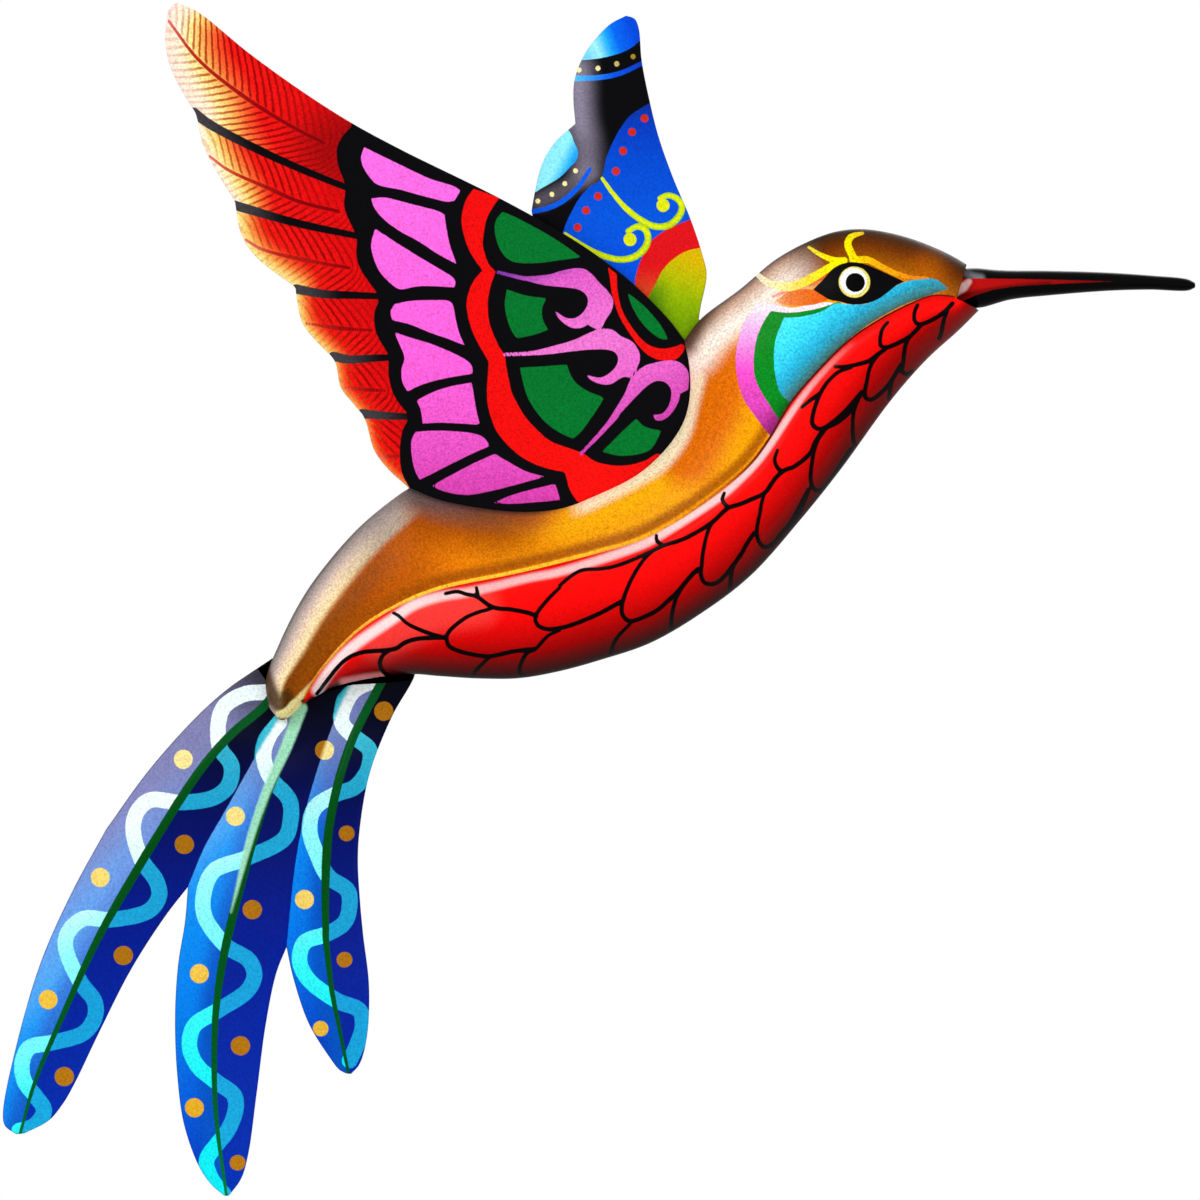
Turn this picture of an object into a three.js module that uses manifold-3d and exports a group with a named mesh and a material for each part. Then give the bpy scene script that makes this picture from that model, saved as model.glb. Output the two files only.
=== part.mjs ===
// A painted metal hummingbird for a wall: pressed steel sheets on a back plate that hangs on one nail.
// Millimetres, +Z up. The wall is the plane Y = 0 and the painted front faces -Y.
// A depth is a distance out from the wall, so the Y of a point is minus its depth.
// Outline points are [x, z] pairs from the middle of the square that the bird fills, seen from the front.
// The whole bird is then moved so that the nail it hangs on is the origin.

import * as THREE from 'three';
import { mergeVertices } from 'three/addons/utils/BufferGeometryUtils.js';
import Module from 'manifold-3d';

// Sheet metal and fits
const SHEET = 0.8;
const GAP = 0.3;

// Hanging strap with its keyhole. The nail rests at the top of the slot.
const NAIL = [-16, 72];
const STRAP_THICKNESS = 1.5;
const STRAP_WIDTH = 16;
const STRAP_ABOVE_NAIL = 9;
const STRAP_BELOW_NAIL = 84;
const SLOT_WIDTH = 5;
const KEYHOLE_RADIUS = 5;
const KEYHOLE_DROP = 11;

// Stack of sheets, as depths of their rear faces
const PLATE_REAR = STRAP_THICKNESS + GAP;
const PLATE_FRONT = PLATE_REAR + SHEET;
const INNER_SHEET = PLATE_FRONT + GAP;
const OUTER_SHEET = INNER_SHEET + SHEET + GAP;
const RIM = OUTER_SHEET + SHEET + 2 * GAP;

// Pressed relief
const BODY_CROWN = 12;
const BODY_CROWN_WIDTH = 14;
const BODY_ROUNDNESS = 0.7;
const BREAST_SWELL = 2.2;
const BREAST_SHOULDER = 5;
const LAP = 5;
const NEAR_WING_LIFT = 16;
const NEAR_WING_CAMBER = 3;
const NEAR_WING_HALF_WIDTH = 45;
const FAR_WING_LIFT = 9;
const FAR_WING_CAMBER = 3;
const FAR_WING_HALF_WIDTH = 22;
const FAR_WING_FLAT = 0.3;
const TAIL_RIDGE = 4;
const TAIL_FLAT = 0.16;
const TAIL_FULL_RIDGE = 0.45;
const BEAK_HEIGHT = 6;
const BEAK_TIP_HEIGHT = 2;
const TANG_THICKNESS = 1.5;
const TANG_WIDTH = 5.5;

// Fold-over tabs that hold the pressed body on the back plate
const TAB_WIDTH = 5;
const TAB_LENGTH = 4;

// Rivets
const SHANK_RADIUS = 1.5;
const HEAD_RADIUS = 2.6;
const HEAD_HEIGHT = 1.2;
const RIVET_HOLE = SHANK_RADIUS + GAP;
const ROUND_SIDES = 12;

// Fineness: steps along an outline, the grid that a wing's relief is pressed on, and strips across a dome
const OUTLINE_STEP = 5;
const RELIEF_STEP = 7;
const DOME_COLUMNS = 10;
const TAIL_ROWS = 18;
const BEAK_SIDES = 8;

// Depths that cutting tools reach to, past every piece
const BEHIND_ALL = -1;
const IN_FRONT_OF_ALL = 60;

// Body outline: back, the saddle that the near wing fills, then neck, crown and beak root
const BACK = [[-82.8, -26.2], [-83.4, -20], [-80, -10.75], [-75, -0.75], [-70, 6.75], [-60, 18.25],
  [-50, 26.4], [-47.5, 28]];
const SADDLE = [[-47.5, 28], [-40, 25], [-30, 23], [-20, 22], [-10, 22.75], [0, 26.5], [10, 31.75],
  [17.5, 39], [21.25, 45.5], [22.5, 52], [22.25, 58.75], [21, 64.75]];
const CROWN = [[21, 64.75], [25, 70], [35, 77.6], [45, 85.75], [57.5, 91.6], [65, 92.6], [72.5, 91.6],
  [80, 89.4], [87.5, 86.1], [91.5, 83.75]];
const RUMP_TIP = [[-82, -27.6], [-79.5, -30], [-77.25, -29], [-74.25, -26]];
const BELLY = [[-74.25, -26], [-66.25, -21.75], [-57, -19.5], [-47, -18.5], [-40, -19], [-30, -19.6],
  [-20, -19.5], [-10, -17.75], [0, -15], [12.5, -10.75], [25, -3.5], [37.5, 6], [50, 20], [60, 32.5],
  [72.75, 50], [81.5, 60], [89.75, 67.5], [94.5, 72.25]];
const BREAST_TOP = [[-74, -25.5], [-70, -18.5], [-60, -7.75], [-50, -1.5], [-40, 2.5], [-20, 6.75],
  [0, 11.75], [10, 14.75], [20, 20], [30, 27], [37.5, 33.5], [42.5, 40.25], [47.5, 48.75], [55, 57.5],
  [62.5, 64.75], [70, 69.75], [77.5, 73.6], [83, 75.6], [88, 75.4]];
const MOUTH_CORNER = [87.3, 76.4];
const ROUND_RUMP = [[-82, -34], [-88, -30]];

// Near wing: leading edge, the root hidden in the body, then the tips of its six feathers
const NEAR_LEADING = [[-105, 148.25], [-100, 146], [-87.5, 136], [-75, 127], [-62.5, 119], [-50, 112.25],
  [-25, 100], [-8.75, 91], [0, 85.25], [8, 79], [17, 70], [21, 64.75]];
const NEAR_ROOT = [[21, 64.75], [25.5, 60], [27, 52], [26.5, 43], [24, 33], [18, 23], [8, 14.5], [-5, 10],
  [-20, 9], [-38, 12], [-46, 17], [-47.5, 28]];
const NEAR_FEATHERS = [
  [[-47.5, 28], [-53, 33], [-56.25, 37.5], [-58.25, 44.5], [-59.25, 46.5]],
  [[-59.25, 46.5], [-62, 49.75], [-64.5, 53], [-65.75, 59], [-66.75, 60.75]],
  [[-66.75, 60.75], [-70.5, 64.5], [-74, 69], [-75.5, 75.5], [-75.75, 78]],
  [[-75.75, 78], [-85.5, 85.5], [-89.25, 91.25], [-90.5, 97.5], [-90.75, 99.25]],
  [[-90.75, 99.25], [-96, 108], [-98.75, 113.75], [-100, 119.5], [-100.5, 121.25]],
  [[-100.5, 121.25], [-105, 128.75], [-107.25, 134.5], [-107.9, 140], [-107.5, 144], [-106.75, 147],
    [-105, 148.25]],
];
const NEAR_WING_ROOT = [0, 26];

// Far wing: the two lobes of its left side, its root pad, then its right side
const FAR_TIP_LOBE = [[6.5, 145.4], [2.5, 143.25], [-2, 138.5], [-4.5, 134.5], [-6.25, 129.5], [-6.5, 125],
  [-6, 118.75]];
const FAR_LOWER_LOBE = [[-6, 118.75], [-11.25, 114], [-14.25, 109], [-16, 102.5], [-17, 97]];
const FAR_ROOT = [[-17, 97], [-14, 87], [-8, 79], [2, 70], [12, 60], [22, 47], [28, 41.5], [34, 41.5],
  [37.5, 48], [37, 57], [31, 66], [24.5, 70]];
const FAR_RIGHT = [[24.5, 70], [25, 73.25], [26.5, 81.25], [25.5, 86], [22.5, 95], [18.25, 105],
  [14.5, 115.5], [12, 125.5], [10.25, 134.5], [9.5, 142.5], [8.5, 144.75], [6.5, 145.4]];
const FAR_WING_ROOT = [27, 55];

// Tail: three creased feathers, one sheet as far as the two notches, then apart.
// Root lines run from the rump to the notches, tip lines from there to the end of each feather.
const TAIL_ROOT = {
  leftEdge: [[-81.5, -14.5], [-87.5, -18.5], [-92.5, -22], [-100, -28.6], [-112.5, -42.5], [-123.2, -57.3]],
  leftRib: [[-79.5, -19], [-83, -25.5], [-91.75, -33.25], [-98.25, -40.5], [-103.75, -48.25],
    [-113.2, -63.4]],
  leftValley: [[-76.5, -23], [-80.25, -29.75], [-84.5, -36.5], [-93.5, -52.5], [-98.75, -61.75],
    [-102.75, -71.25]],
  middleRib: [[-71.5, -20.5], [-75, -27], [-78, -36.5], [-82.75, -47.75], [-86.5, -59.5], [-91.35, -77.8]],
  rightValley: [[-59.5, -16], [-62.25, -21.25], [-66, -29.25], [-72.5, -48.75], [-75, -59.5],
    [-76.5, -69.25], [-78.25, -86.25]],
  rightRib: [[-52.5, -15.5], [-54.25, -19.75], [-61.5, -34], [-65.5, -46.25], [-67.75, -58.25],
    [-68.5, -71.25], [-68.4, -84.5]],
  rightEdge: [[-46, -14.5], [-46.4, -18.75], [-52, -28.9], [-57.6, -43.1], [-60, -56], [-60.6, -64.75],
    [-60, -76], [-59.3, -83.5]],
};
const TAIL_LEFT_TIP = {
  left: [[-123.2, -57.3], [-131.5, -72.5], [-139.25, -89.75], [-145.25, -109.75], [-149, -128.25],
    [-148.5, -131.25], [-145.8, -133.3]],
  rib: [[-113.2, -63.4], [-124.75, -83.5], [-132.5, -100.25], [-141, -120.25], [-144.8, -133.2]],
  right: [[-102.75, -71.25], [-108.75, -79], [-117.25, -92.25], [-125, -107.5], [-131.5, -121],
    [-134.25, -125.75], [-137.75, -129.9], [-143.8, -133.1]],
};
const TAIL_MIDDLE_TIP = {
  left: [[-102.75, -71.25], [-103.5, -80.25], [-105.25, -91.25], [-106, -104.5], [-105.4, -119.25],
    [-103.75, -131], [-100, -141.5], [-97, -145.9], [-93.9, -148.6]],
  rib: [[-91.35, -77.8], [-94, -89.5], [-95.75, -102], [-96.25, -115.75], [-95.75, -129.25],
    [-93.3, -148.7]],
  right: [[-78.25, -86.25], [-81, -93.25], [-83.65, -106.25], [-85.85, -123], [-88, -138.5],
    [-89.75, -144.5], [-92.7, -148.6]],
};
const TAIL_RIGHT_TIP = {
  left: [[-78.25, -86.25], [-76.5, -94.25], [-72.6, -105.75], [-67.25, -114.4], [-65, -117.25],
    [-63.4, -118.1]],
  rib: [[-68.4, -84.5], [-67, -96.75], [-65, -107], [-62.8, -118.2]],
  right: [[-59.3, -83.5], [-57.8, -96.75], [-58.4, -109.5], [-60.25, -116], [-62.2, -118.2]],
};
const TAIL_PAD_TOP = [[-46, -14.5], [-52, -8.5], [-61, -5.5], [-70, -6], [-77.5, -10], [-81.5, -14.5]];

// Beak: upper and lower edge, from the root inside the head to the tip
const BEAK_TOP = [[84, 81], [88.5, 82.3], [91, 82.8], [94, 82.9], [100, 82.4], [112.5, 82.25], [125, 81.9],
  [137.5, 81.1], [147, 80.1], [148.6, 79.2]];
const BEAK_BOTTOM = [[84, 76.2], [88, 74.3], [92, 73.1], [95, 73], [102.5, 75], [112.5, 76.1],
  [127.5, 77.25], [137.5, 77.5], [147, 77.3], [148.6, 78]];
const TANG_MIDDLE = (BEAK_TOP[0][1] + BEAK_BOTTOM[0][1]) / 2;
const TANG_START = 70.5;
const TANG_END = 87;

// Rivet positions
const STRAP_RIVETS = [[NAIL[0], 3.5], [NAIL[0], -6.5]];
const NEAR_WING_RIVETS = [[-41, 18.5], [-2, 15.5], [15, 28]];
const FAR_WING_RIVETS = [[32.5, 59.5], [32.5, 48]];
const TAIL_RIVETS = [[-74, -13.5], [-63, -10], [-52.5, -13]];
const BEAK_RIVETS = [[74.5, TANG_MIDDLE], [80.5, TANG_MIDDLE]];

// Tabs, as shares of the length of the edge that they grow from
const BACK_TABS = [0.1, 0.22, 0.76, 0.88];
const BREAST_TABS = [0.24, 0.46, 0.66, 0.84];

// Paint colours, with roughness and metalness
const GOLD = ['#d98310', 0.4, 0.3];
const BREAST_RED = ['#d80d10', 0.3, 0.3];
const WING_RED = ['#c8181c', 0.45, 0.2];
const WING_BLUE = ['#0d47d8', 0.45, 0.2];
const TAIL_BLUE = ['#12349c', 0.45, 0.2];
const BLACK = ['#16141a', 0.45, 0.2];
const STEEL = ['#8f9295', 0.45, 0.9];

const wasm = await Module();
wasm.setup();

// Joins doubled vertices, drops the triangles that vanish at a pole, and hands over the closed body.
function solid(geometry) {
  const bare = geometry.clone();
  bare.deleteAttribute('normal');
  bare.deleteAttribute('uv');
  const merged = mergeVertices(bare, 1e-4);
  const corners = merged.index.array;
  const kept = [];
  for (let k = 0; k < corners.length; k += 3) {
    const [a, b, c] = corners.slice(k, k + 3);
    if (a !== b && b !== c && c !== a) kept.push(a, b, c);
  }
  return new wasm.Manifold(new wasm.Mesh({
    numProp: 3,
    vertProperties: merged.attributes.position.array,
    triVerts: new Uint32Array(kept),
  }));
}

function between([ax, az], [bx, bz], share) {
  return [ax + share * (bx - ax), az + share * (bz - az)];
}

function distance([ax, az], [bx, bz]) {
  return Math.hypot(bx - ax, bz - az);
}

// A smooth line through the points, in equal steps
function smooth(points) {
  const knots = points.map(([x, z]) => new THREE.Vector3(x, 0, z));
  const curve = new THREE.CatmullRomCurve3(knots, false, 'centripetal');
  const steps = Math.max(2, Math.round(curve.getLength() / OUTLINE_STEP));
  return curve.getSpacedPoints(steps).map((point) => [point.x, point.z]);
}

// Smooth strokes joined end to end, with a corner wherever two strokes meet
function joined(...strokes) {
  return strokes.flatMap((stroke, index) => smooth(stroke).slice(index === 0 ? 0 : 1));
}

// Share of the length of a line that lies before each of its points
function shares(line) {
  const sums = [0];
  for (let k = 1; k < line.length; k += 1) sums.push(sums[k - 1] + distance(line[k - 1], line[k]));
  return sums.map((sum) => sum / sums.at(-1));
}

function pointAt(line, share) {
  const stops = shares(line);
  const next = Math.max(1, stops.findIndex((stop) => stop >= share - 1e-9));
  return between(line[next - 1], line[next], (share - stops[next - 1]) / (stops[next] - stops[next - 1]));
}

// The line moved sideways, to the left of its own direction seen from the front
function beside(line, offset, closed = false) {
  const side = (from, to) => {
    const length = distance(from, to);
    return [(from[1] - to[1]) / length, (to[0] - from[0]) / length];
  };
  return line.map((point, k) => {
    const before = line[k - 1] ?? (closed ? line.at(-1) : null);
    const after = line[k + 1] ?? (closed ? line[0] : null);
    const arriving = before ? side(before, point) : side(point, after);
    const leaving = after ? side(point, after) : arriving;
    const reach = offset / (1 + arriving[0] * leaving[0] + arriving[1] * leaving[1]);
    return [point[0] + reach * (arriving[0] + leaving[0]), point[1] + reach * (arriving[1] + leaving[1])];
  });
}

// A closed outline grown on every side
function grown(outline, clearance) {
  const area = THREE.ShapeUtils.area(outline.map(([x, z]) => new THREE.Vector2(x, z)));
  return beside(outline, area < 0 ? clearance : -clearance, true);
}

// The line without its first stretch, and with its last stretch run on
function trimmed(line, start, extra) {
  const end = between(line.at(-2), line.at(-1), 1 + extra / distance(line.at(-2), line.at(-1)));
  return [...line.filter((point) => distance(point, line[0]) >= start), end];
}

function distanceTo(line, point) {
  let nearest = Infinity;
  for (let k = 1; k < line.length; k += 1) {
    const [from, to] = [line[k - 1], line[k]];
    const along = (point[0] - from[0]) * (to[0] - from[0]) + (point[1] - from[1]) * (to[1] - from[1]);
    const share = THREE.MathUtils.clamp(along / distance(from, to) ** 2, 0, 1);
    nearest = Math.min(nearest, distance(point, between(from, to, share)));
  }
  return nearest;
}

// A closed body between a front and a rear grid. From the front, rows run right and columns run down.
function gridBody(rows, columns, frontAt, rearAt) {
  const positions = [];
  for (const side of [frontAt, rearAt]) {
    for (let i = 0; i <= rows; i += 1) {
      for (let j = 0; j <= columns; j += 1) positions.push(...side(i, j));
    }
  }
  const front = (i, j) => i * (columns + 1) + j;
  const rear = (i, j) => front(i, j) + (rows + 1) * (columns + 1);
  const faces = [];
  const quad = (a, b, c, d) => faces.push(a, b, c, a, c, d);
  for (let i = 0; i < rows; i += 1) {
    for (let j = 0; j < columns; j += 1) {
      quad(front(i, j), front(i, j + 1), front(i + 1, j + 1), front(i + 1, j));
      quad(rear(i, j), rear(i + 1, j), rear(i + 1, j + 1), rear(i, j + 1));
    }
    quad(front(i, 0), front(i + 1, 0), rear(i + 1, 0), rear(i, 0));
    quad(front(i + 1, columns), front(i, columns), rear(i, columns), rear(i + 1, columns));
  }
  for (let j = 0; j < columns; j += 1) {
    quad(front(0, j + 1), front(0, j), rear(0, j), rear(0, j + 1));
    quad(front(rows, j), front(rows, j + 1), rear(rows, j + 1), rear(rows, j));
  }
  const geometry = new THREE.BufferGeometry();
  geometry.setAttribute('position', new THREE.BufferAttribute(new Float32Array(positions), 3));
  geometry.setIndex(faces);
  return solid(geometry);
}

// A flat plate with an outline, between two depths
function plate(outline, rear, front) {
  const shape = new THREE.Shape(outline.map(([x, z]) => new THREE.Vector2(x, z)));
  const geometry = new THREE.ExtrudeGeometry(shape, { depth: front - rear, bevelEnabled: false });
  geometry.rotateX(Math.PI / 2);
  geometry.translate(0, -rear, 0);
  return solid(geometry);
}

// A sheet with an outline, pressed so that its rear face lies at the depth given for each point
function pressedSheet(outline, rearDepth) {
  const [xs, zs] = [outline.map(([x]) => x), outline.map(([, z]) => z)];
  const [left, right] = [Math.min(...xs) - 1, Math.max(...xs) + 1];
  const [low, high] = [Math.min(...zs) - 1, Math.max(...zs) + 1];
  const rows = Math.ceil((right - left) / RELIEF_STEP);
  const columns = Math.ceil((high - low) / RELIEF_STEP);
  const spot = (i, j) => [left + (right - left) * i / rows, high - (high - low) * j / columns];
  const at = (i, j, extra) => {
    const [x, z] = spot(i, j);
    return [x, -rearDepth([x, z]) - extra, z];
  };
  const quilt = gridBody(rows, columns, (i, j) => at(i, j, SHEET), (i, j) => at(i, j, 0));
  return quilt.intersect(plate(outline, 0, IN_FRONT_OF_ALL));
}

// The solid under a surface stretched from one edge to another, down to a flat base
function loft(edge, opposite, surfaceDepth, base) {
  const stops = shares(edge);
  const spot = (i, j) => {
    const share = (1 - Math.cos(Math.PI * j / DOME_COLUMNS)) / 2;
    return between(edge[i], pointAt(opposite, stops[i]), share);
  };
  const surfaceAt = (i, j) => {
    const [x, z] = spot(i, j);
    return [x, -surfaceDepth([x, z]), z];
  };
  const baseAt = (i, j) => {
    const [x, z] = spot(i, j);
    return [x, -base, z];
  };
  return gridBody(edge.length - 1, DOME_COLUMNS, surfaceAt, baseAt);
}

// A revolved body on an axis square to the wall, from [radius, depth] pairs
function turned([x, z], profile) {
  const points = profile.map(([radius, depth]) => new THREE.Vector2(radius, -depth));
  const geometry = new THREE.LatheGeometry(points, ROUND_SIDES);
  geometry.translate(x, 0, z);
  return solid(geometry);
}

function drill(body, places, radius) {
  const profile = [[0, IN_FRONT_OF_ALL], [radius, IN_FRONT_OF_ALL], [radius, BEHIND_ALL], [0, BEHIND_ALL]];
  return places.reduce((rest, place) => rest.subtract(turned(place, profile)), body);
}

// The domed head of a rivet, down to its shank, from the depth of its flat underside
function domedHead(under) {
  return [
    [0, under + HEAD_HEIGHT],
    [HEAD_RADIUS * 0.55, under + HEAD_HEIGHT * 0.85],
    [HEAD_RADIUS, under + HEAD_HEIGHT * 0.25],
    [HEAD_RADIUS, under],
    [SHANK_RADIUS, under],
  ];
}

// A rivet through sheets whose rear and front faces lie at these depths
function rivet(place, rear, front) {
  const set = [
    [SHANK_RADIUS, rear - GAP],
    [HEAD_RADIUS, rear - GAP],
    [HEAD_RADIUS * 0.8, rear - GAP - HEAD_HEIGHT],
    [0, rear - GAP - HEAD_HEIGHT],
  ];
  return turned(place, [...domedHead(front + GAP), ...set]);
}

// A countersunk tail, or with a clearance the hole that one sits in
function countersunk(place, clearance) {
  const rear = clearance > 0 ? BEHIND_ALL : GAP / 3;
  return turned(place, [
    [0, PLATE_REAR],
    [SHANK_RADIUS + clearance, PLATE_REAR],
    [SHANK_RADIUS + clearance, STRAP_THICKNESS - GAP],
    [HEAD_RADIUS + clearance, GAP / 3],
    [HEAD_RADIUS + clearance, rear],
    [0, rear],
  ]);
}

// A rivet through the back plate and the strap, flush at the rear so that the strap lies flat
function strapRivet(place) {
  const shank = [[SHANK_RADIUS, STRAP_THICKNESS], [0, STRAP_THICKNESS]];
  return turned(place, [...domedHead(PLATE_FRONT + GAP), ...shank]).add(countersunk(place, 0));
}

const backEdge = joined(BACK, SADDLE, CROWN);
const bellyEdge = joined(RUMP_TIP, BELLY);
const breastTop = joined(BREAST_TOP);
const lowerEdge = joined(BELLY);

// Depth of the gold dome: it rises from both edges of the body, and more where the body is wider.
function bodyDepth(point) {
  const above = distanceTo(backEdge, point);
  const below = distanceTo(bellyEdge, point);
  const across = above / (above + below);
  const height = BODY_CROWN * (1 - Math.exp(-(above + below) / BODY_CROWN_WIDTH));
  return RIM + height * (4 * across * (1 - across)) ** BODY_ROUNDNESS;
}

// The breast panel lies on the dome at its top edge and swells out past a rounded shoulder.
function breastDepth(point) {
  const inside = Math.min(1, distanceTo(breastTop, point) / BREAST_SHOULDER);
  const below = Math.min(1, distanceTo(lowerEdge, point) / BREAST_SHOULDER);
  return bodyDepth(point) + 2 * GAP + SHEET + BREAST_SWELL * Math.sin(inside * Math.PI / 2) * below;
}

// How far a point lies to the left of a straight line, seen from the front
function leftOf(from, to, [x, z]) {
  return ((to[0] - from[0]) * (z - from[1]) - (to[1] - from[1]) * (x - from[0])) / distance(from, to);
}

// The near wing is bent out from the wall along the chord of the saddle, and cambered about its length.
function nearWingDepth(point) {
  const tip = NEAR_LEADING[0];
  const [from, to] = [SADDLE[0], SADDLE.at(-1)];
  const out = Math.max(0, leftOf(from, to, point) / leftOf(from, to, tip));
  const side = leftOf(NEAR_WING_ROOT, tip, point) / NEAR_WING_HALF_WIDTH;
  return OUTER_SHEET + NEAR_WING_LIFT * out ** 1.1 - NEAR_WING_CAMBER * out * side ** 2;
}

// The far wing is flat in the body, then lifts towards its tip and falls off to both sides.
function farWingDepth(point) {
  const tip = FAR_TIP_LOBE[0];
  const out = distance(FAR_WING_ROOT, point) / distance(FAR_WING_ROOT, tip);
  const side = leftOf(FAR_WING_ROOT, tip, point) / FAR_WING_HALF_WIDTH;
  const rise = Math.max(0, (out - FAR_WING_FLAT) / (1 - FAR_WING_FLAT));
  return INNER_SHEET + FAR_WING_LIFT * rise ** 1.3 - FAR_WING_CAMBER * rise * side ** 2;
}

// A folded sheet that is stretched over lines from right to left, each with its own height above the flat
function foldedSheet(lines, rows, ridgeAt) {
  const at = (i, j, extra) => {
    const [x, z] = pointAt(lines[j], i / rows);
    return [x, -INNER_SHEET - extra - (j % 2 === 1 ? ridgeAt(i / rows) : 0), z];
  };
  return gridBody(rows, lines.length - 1, (i, j) => at(i, j, SHEET), (i, j) => at(i, j, 0));
}

function tailFan() {
  const { rightEdge, rightRib, rightValley, middleRib, leftValley, leftRib, leftEdge } = TAIL_ROOT;
  const lines = [rightEdge, rightRib, rightValley, middleRib, leftValley, leftRib, leftEdge].map(smooth);
  const rising = (share) => TAIL_RIDGE * THREE.MathUtils.smoothstep(share, TAIL_FLAT, TAIL_FULL_RIDGE);
  const root = foldedSheet(lines, TAIL_ROWS, rising);
  const tips = [TAIL_LEFT_TIP, TAIL_MIDDLE_TIP, TAIL_RIGHT_TIP].map(({ left, rib, right }) => {
    const falling = (share) => TAIL_RIDGE * (1 - share ** 4);
    return foldedSheet([right, rib, left].map(smooth), TAIL_ROWS, falling);
  });
  const underRump = lines.slice(1, -1).map((line) => pointAt(line, TAIL_FLAT / 2)).reverse();
  const pad = plate([...smooth(TAIL_PAD_TOP), ...underRump], INNER_SHEET, INNER_SHEET + SHEET);
  return wasm.Manifold.union([root, pad, ...tips]);
}

// A spike with a flat rear and a rounded front, and a flat tang to rivet it by
function beakSpike() {
  const [top, bottom] = [smooth(BEAK_TOP), smooth(BEAK_BOTTOM)];
  const stops = shares(top);
  const at = (i, j, rounded) => {
    const turn = Math.PI * j / BEAK_SIDES;
    const [x, z] = between(top[i], pointAt(bottom, stops[i]), (1 - Math.cos(turn)) / 2);
    const height = THREE.MathUtils.lerp(BEAK_HEIGHT, BEAK_TIP_HEIGHT, stops[i] ** 0.6);
    return [x, -INNER_SHEET - rounded * height * Math.sin(turn), z];
  };
  const spike = gridBody(top.length - 1, BEAK_SIDES, (i, j) => at(i, j, 1), (i, j) => at(i, j, 0));
  const [low, high] = [TANG_MIDDLE - TANG_WIDTH / 2, TANG_MIDDLE + TANG_WIDTH / 2];
  const tang = [[TANG_START, low], [TANG_END, low], [TANG_END, high], [TANG_START, high]];
  return spike.add(plate(tang, INNER_SHEET, INNER_SHEET + TANG_THICKNESS));
}

// A shell with a dome and a skirt: what is left of a domed solid when a smaller one is taken out from behind
function goldDome() {
  const outer = loft(backEdge, bellyEdge, bodyDepth, PLATE_REAR);
  const inner = loft(
    trimmed(beside(backEdge, -SHEET), 3, 3),
    trimmed(beside(bellyEdge, SHEET), 3, 3),
    (point) => bodyDepth(point) - SHEET,
    PLATE_REAR - 1,
  );
  return outer.subtract(inner);
}

// What the breast panel fills, with its clearance, and nothing of the space inside it
function breastShell(clearance) {
  const outer = loft(
    beside(breastTop, clearance),
    beside(lowerEdge, -clearance),
    (point) => breastDepth(point) + clearance,
    PLATE_REAR - clearance,
  );
  const inner = loft(
    trimmed(beside(breastTop, 2 + clearance), 3, 3),
    trimmed(beside(lowerEdge, SHEET + clearance), 3, 3),
    (point) => breastDepth(point) - SHEET - clearance,
    PLATE_REAR - 2,
  );
  return outer.subtract(inner);
}

// A tab that carries the skirt on behind the back plate and folds in under it
function tab(edge, share, inward) {
  const [ahead, behind] = [pointAt(edge, share + 0.01), pointAt(edge, share - 0.01)];
  const place = pointAt(edge, share);
  const rear = PLATE_REAR - GAP - SHEET;
  const block = (reach, front) => {
    const geometry = new THREE.BoxGeometry(TAB_WIDTH, front - rear, reach);
    geometry.translate(0, -(front + rear) / 2, inward * reach / 2);
    geometry.rotateY(Math.atan2(behind[1] - ahead[1], ahead[0] - behind[0]));
    geometry.translate(place[0], 0, place[1]);
    return solid(geometry);
  };
  return block(SHEET, PLATE_FRONT).add(block(TAB_LENGTH, rear + SHEET));
}

// The way out through the body's skirt for a sheet that leaves it
function passage(outline, front) {
  return plate(grown(outline, GAP), BEHIND_ALL, front + GAP);
}

function nearWingOutline() {
  return joined(NEAR_LEADING, NEAR_ROOT, ...NEAR_FEATHERS).slice(1);
}

function farWingOutline() {
  return joined(FAR_TIP_LOBE, FAR_LOWER_LOBE, FAR_ROOT, FAR_RIGHT).slice(1);
}

function tailPassageOutline() {
  const [left, right] = [smooth(TAIL_ROOT.leftEdge), smooth(TAIL_ROOT.rightEdge)];
  return [...left.slice(0, -4), ...right.slice(1, -4).reverse(), ...smooth(TAIL_PAD_TOP).slice(0, -1)];
}

function nearWing() {
  return pressedSheet(nearWingOutline(), nearWingDepth);
}

function farWing() {
  return pressedSheet(farWingOutline(), farWingDepth);
}

// What the wings, the tail and the beak need to come out of the body
function passages() {
  return wasm.Manifold.union([
    passage(nearWingOutline(), OUTER_SHEET + SHEET),
    passage(farWingOutline(), INNER_SHEET + SHEET),
    passage(tailPassageOutline(), INNER_SHEET + SHEET),
    passage([...smooth(BEAK_TOP), ...smooth(BEAK_BOTTOM).reverse()], INNER_SHEET + BEAK_HEIGHT),
  ]);
}

function bodyShell() {
  const lapEdge = beside(breastTop, -LAP).reverse();
  const mouth = [backEdge.at(-1), MOUTH_CORNER];
  const gold = plate([...beside(backEdge, 3), ...mouth, ...lapEdge, ...ROUND_RUMP], 0, IN_FRONT_OF_ALL);
  const dome = goldDome().intersect(gold).subtract(breastShell(GAP)).subtract(passages());
  return BACK_TABS.reduce((shell, share) => shell.add(tab(backEdge, share, -1)), dome);
}

function breastPanel() {
  const panel = breastShell(0).subtract(passages());
  return BREAST_TABS.reduce((shell, share) => shell.add(tab(lowerEdge, share, 1)), panel);
}

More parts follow.
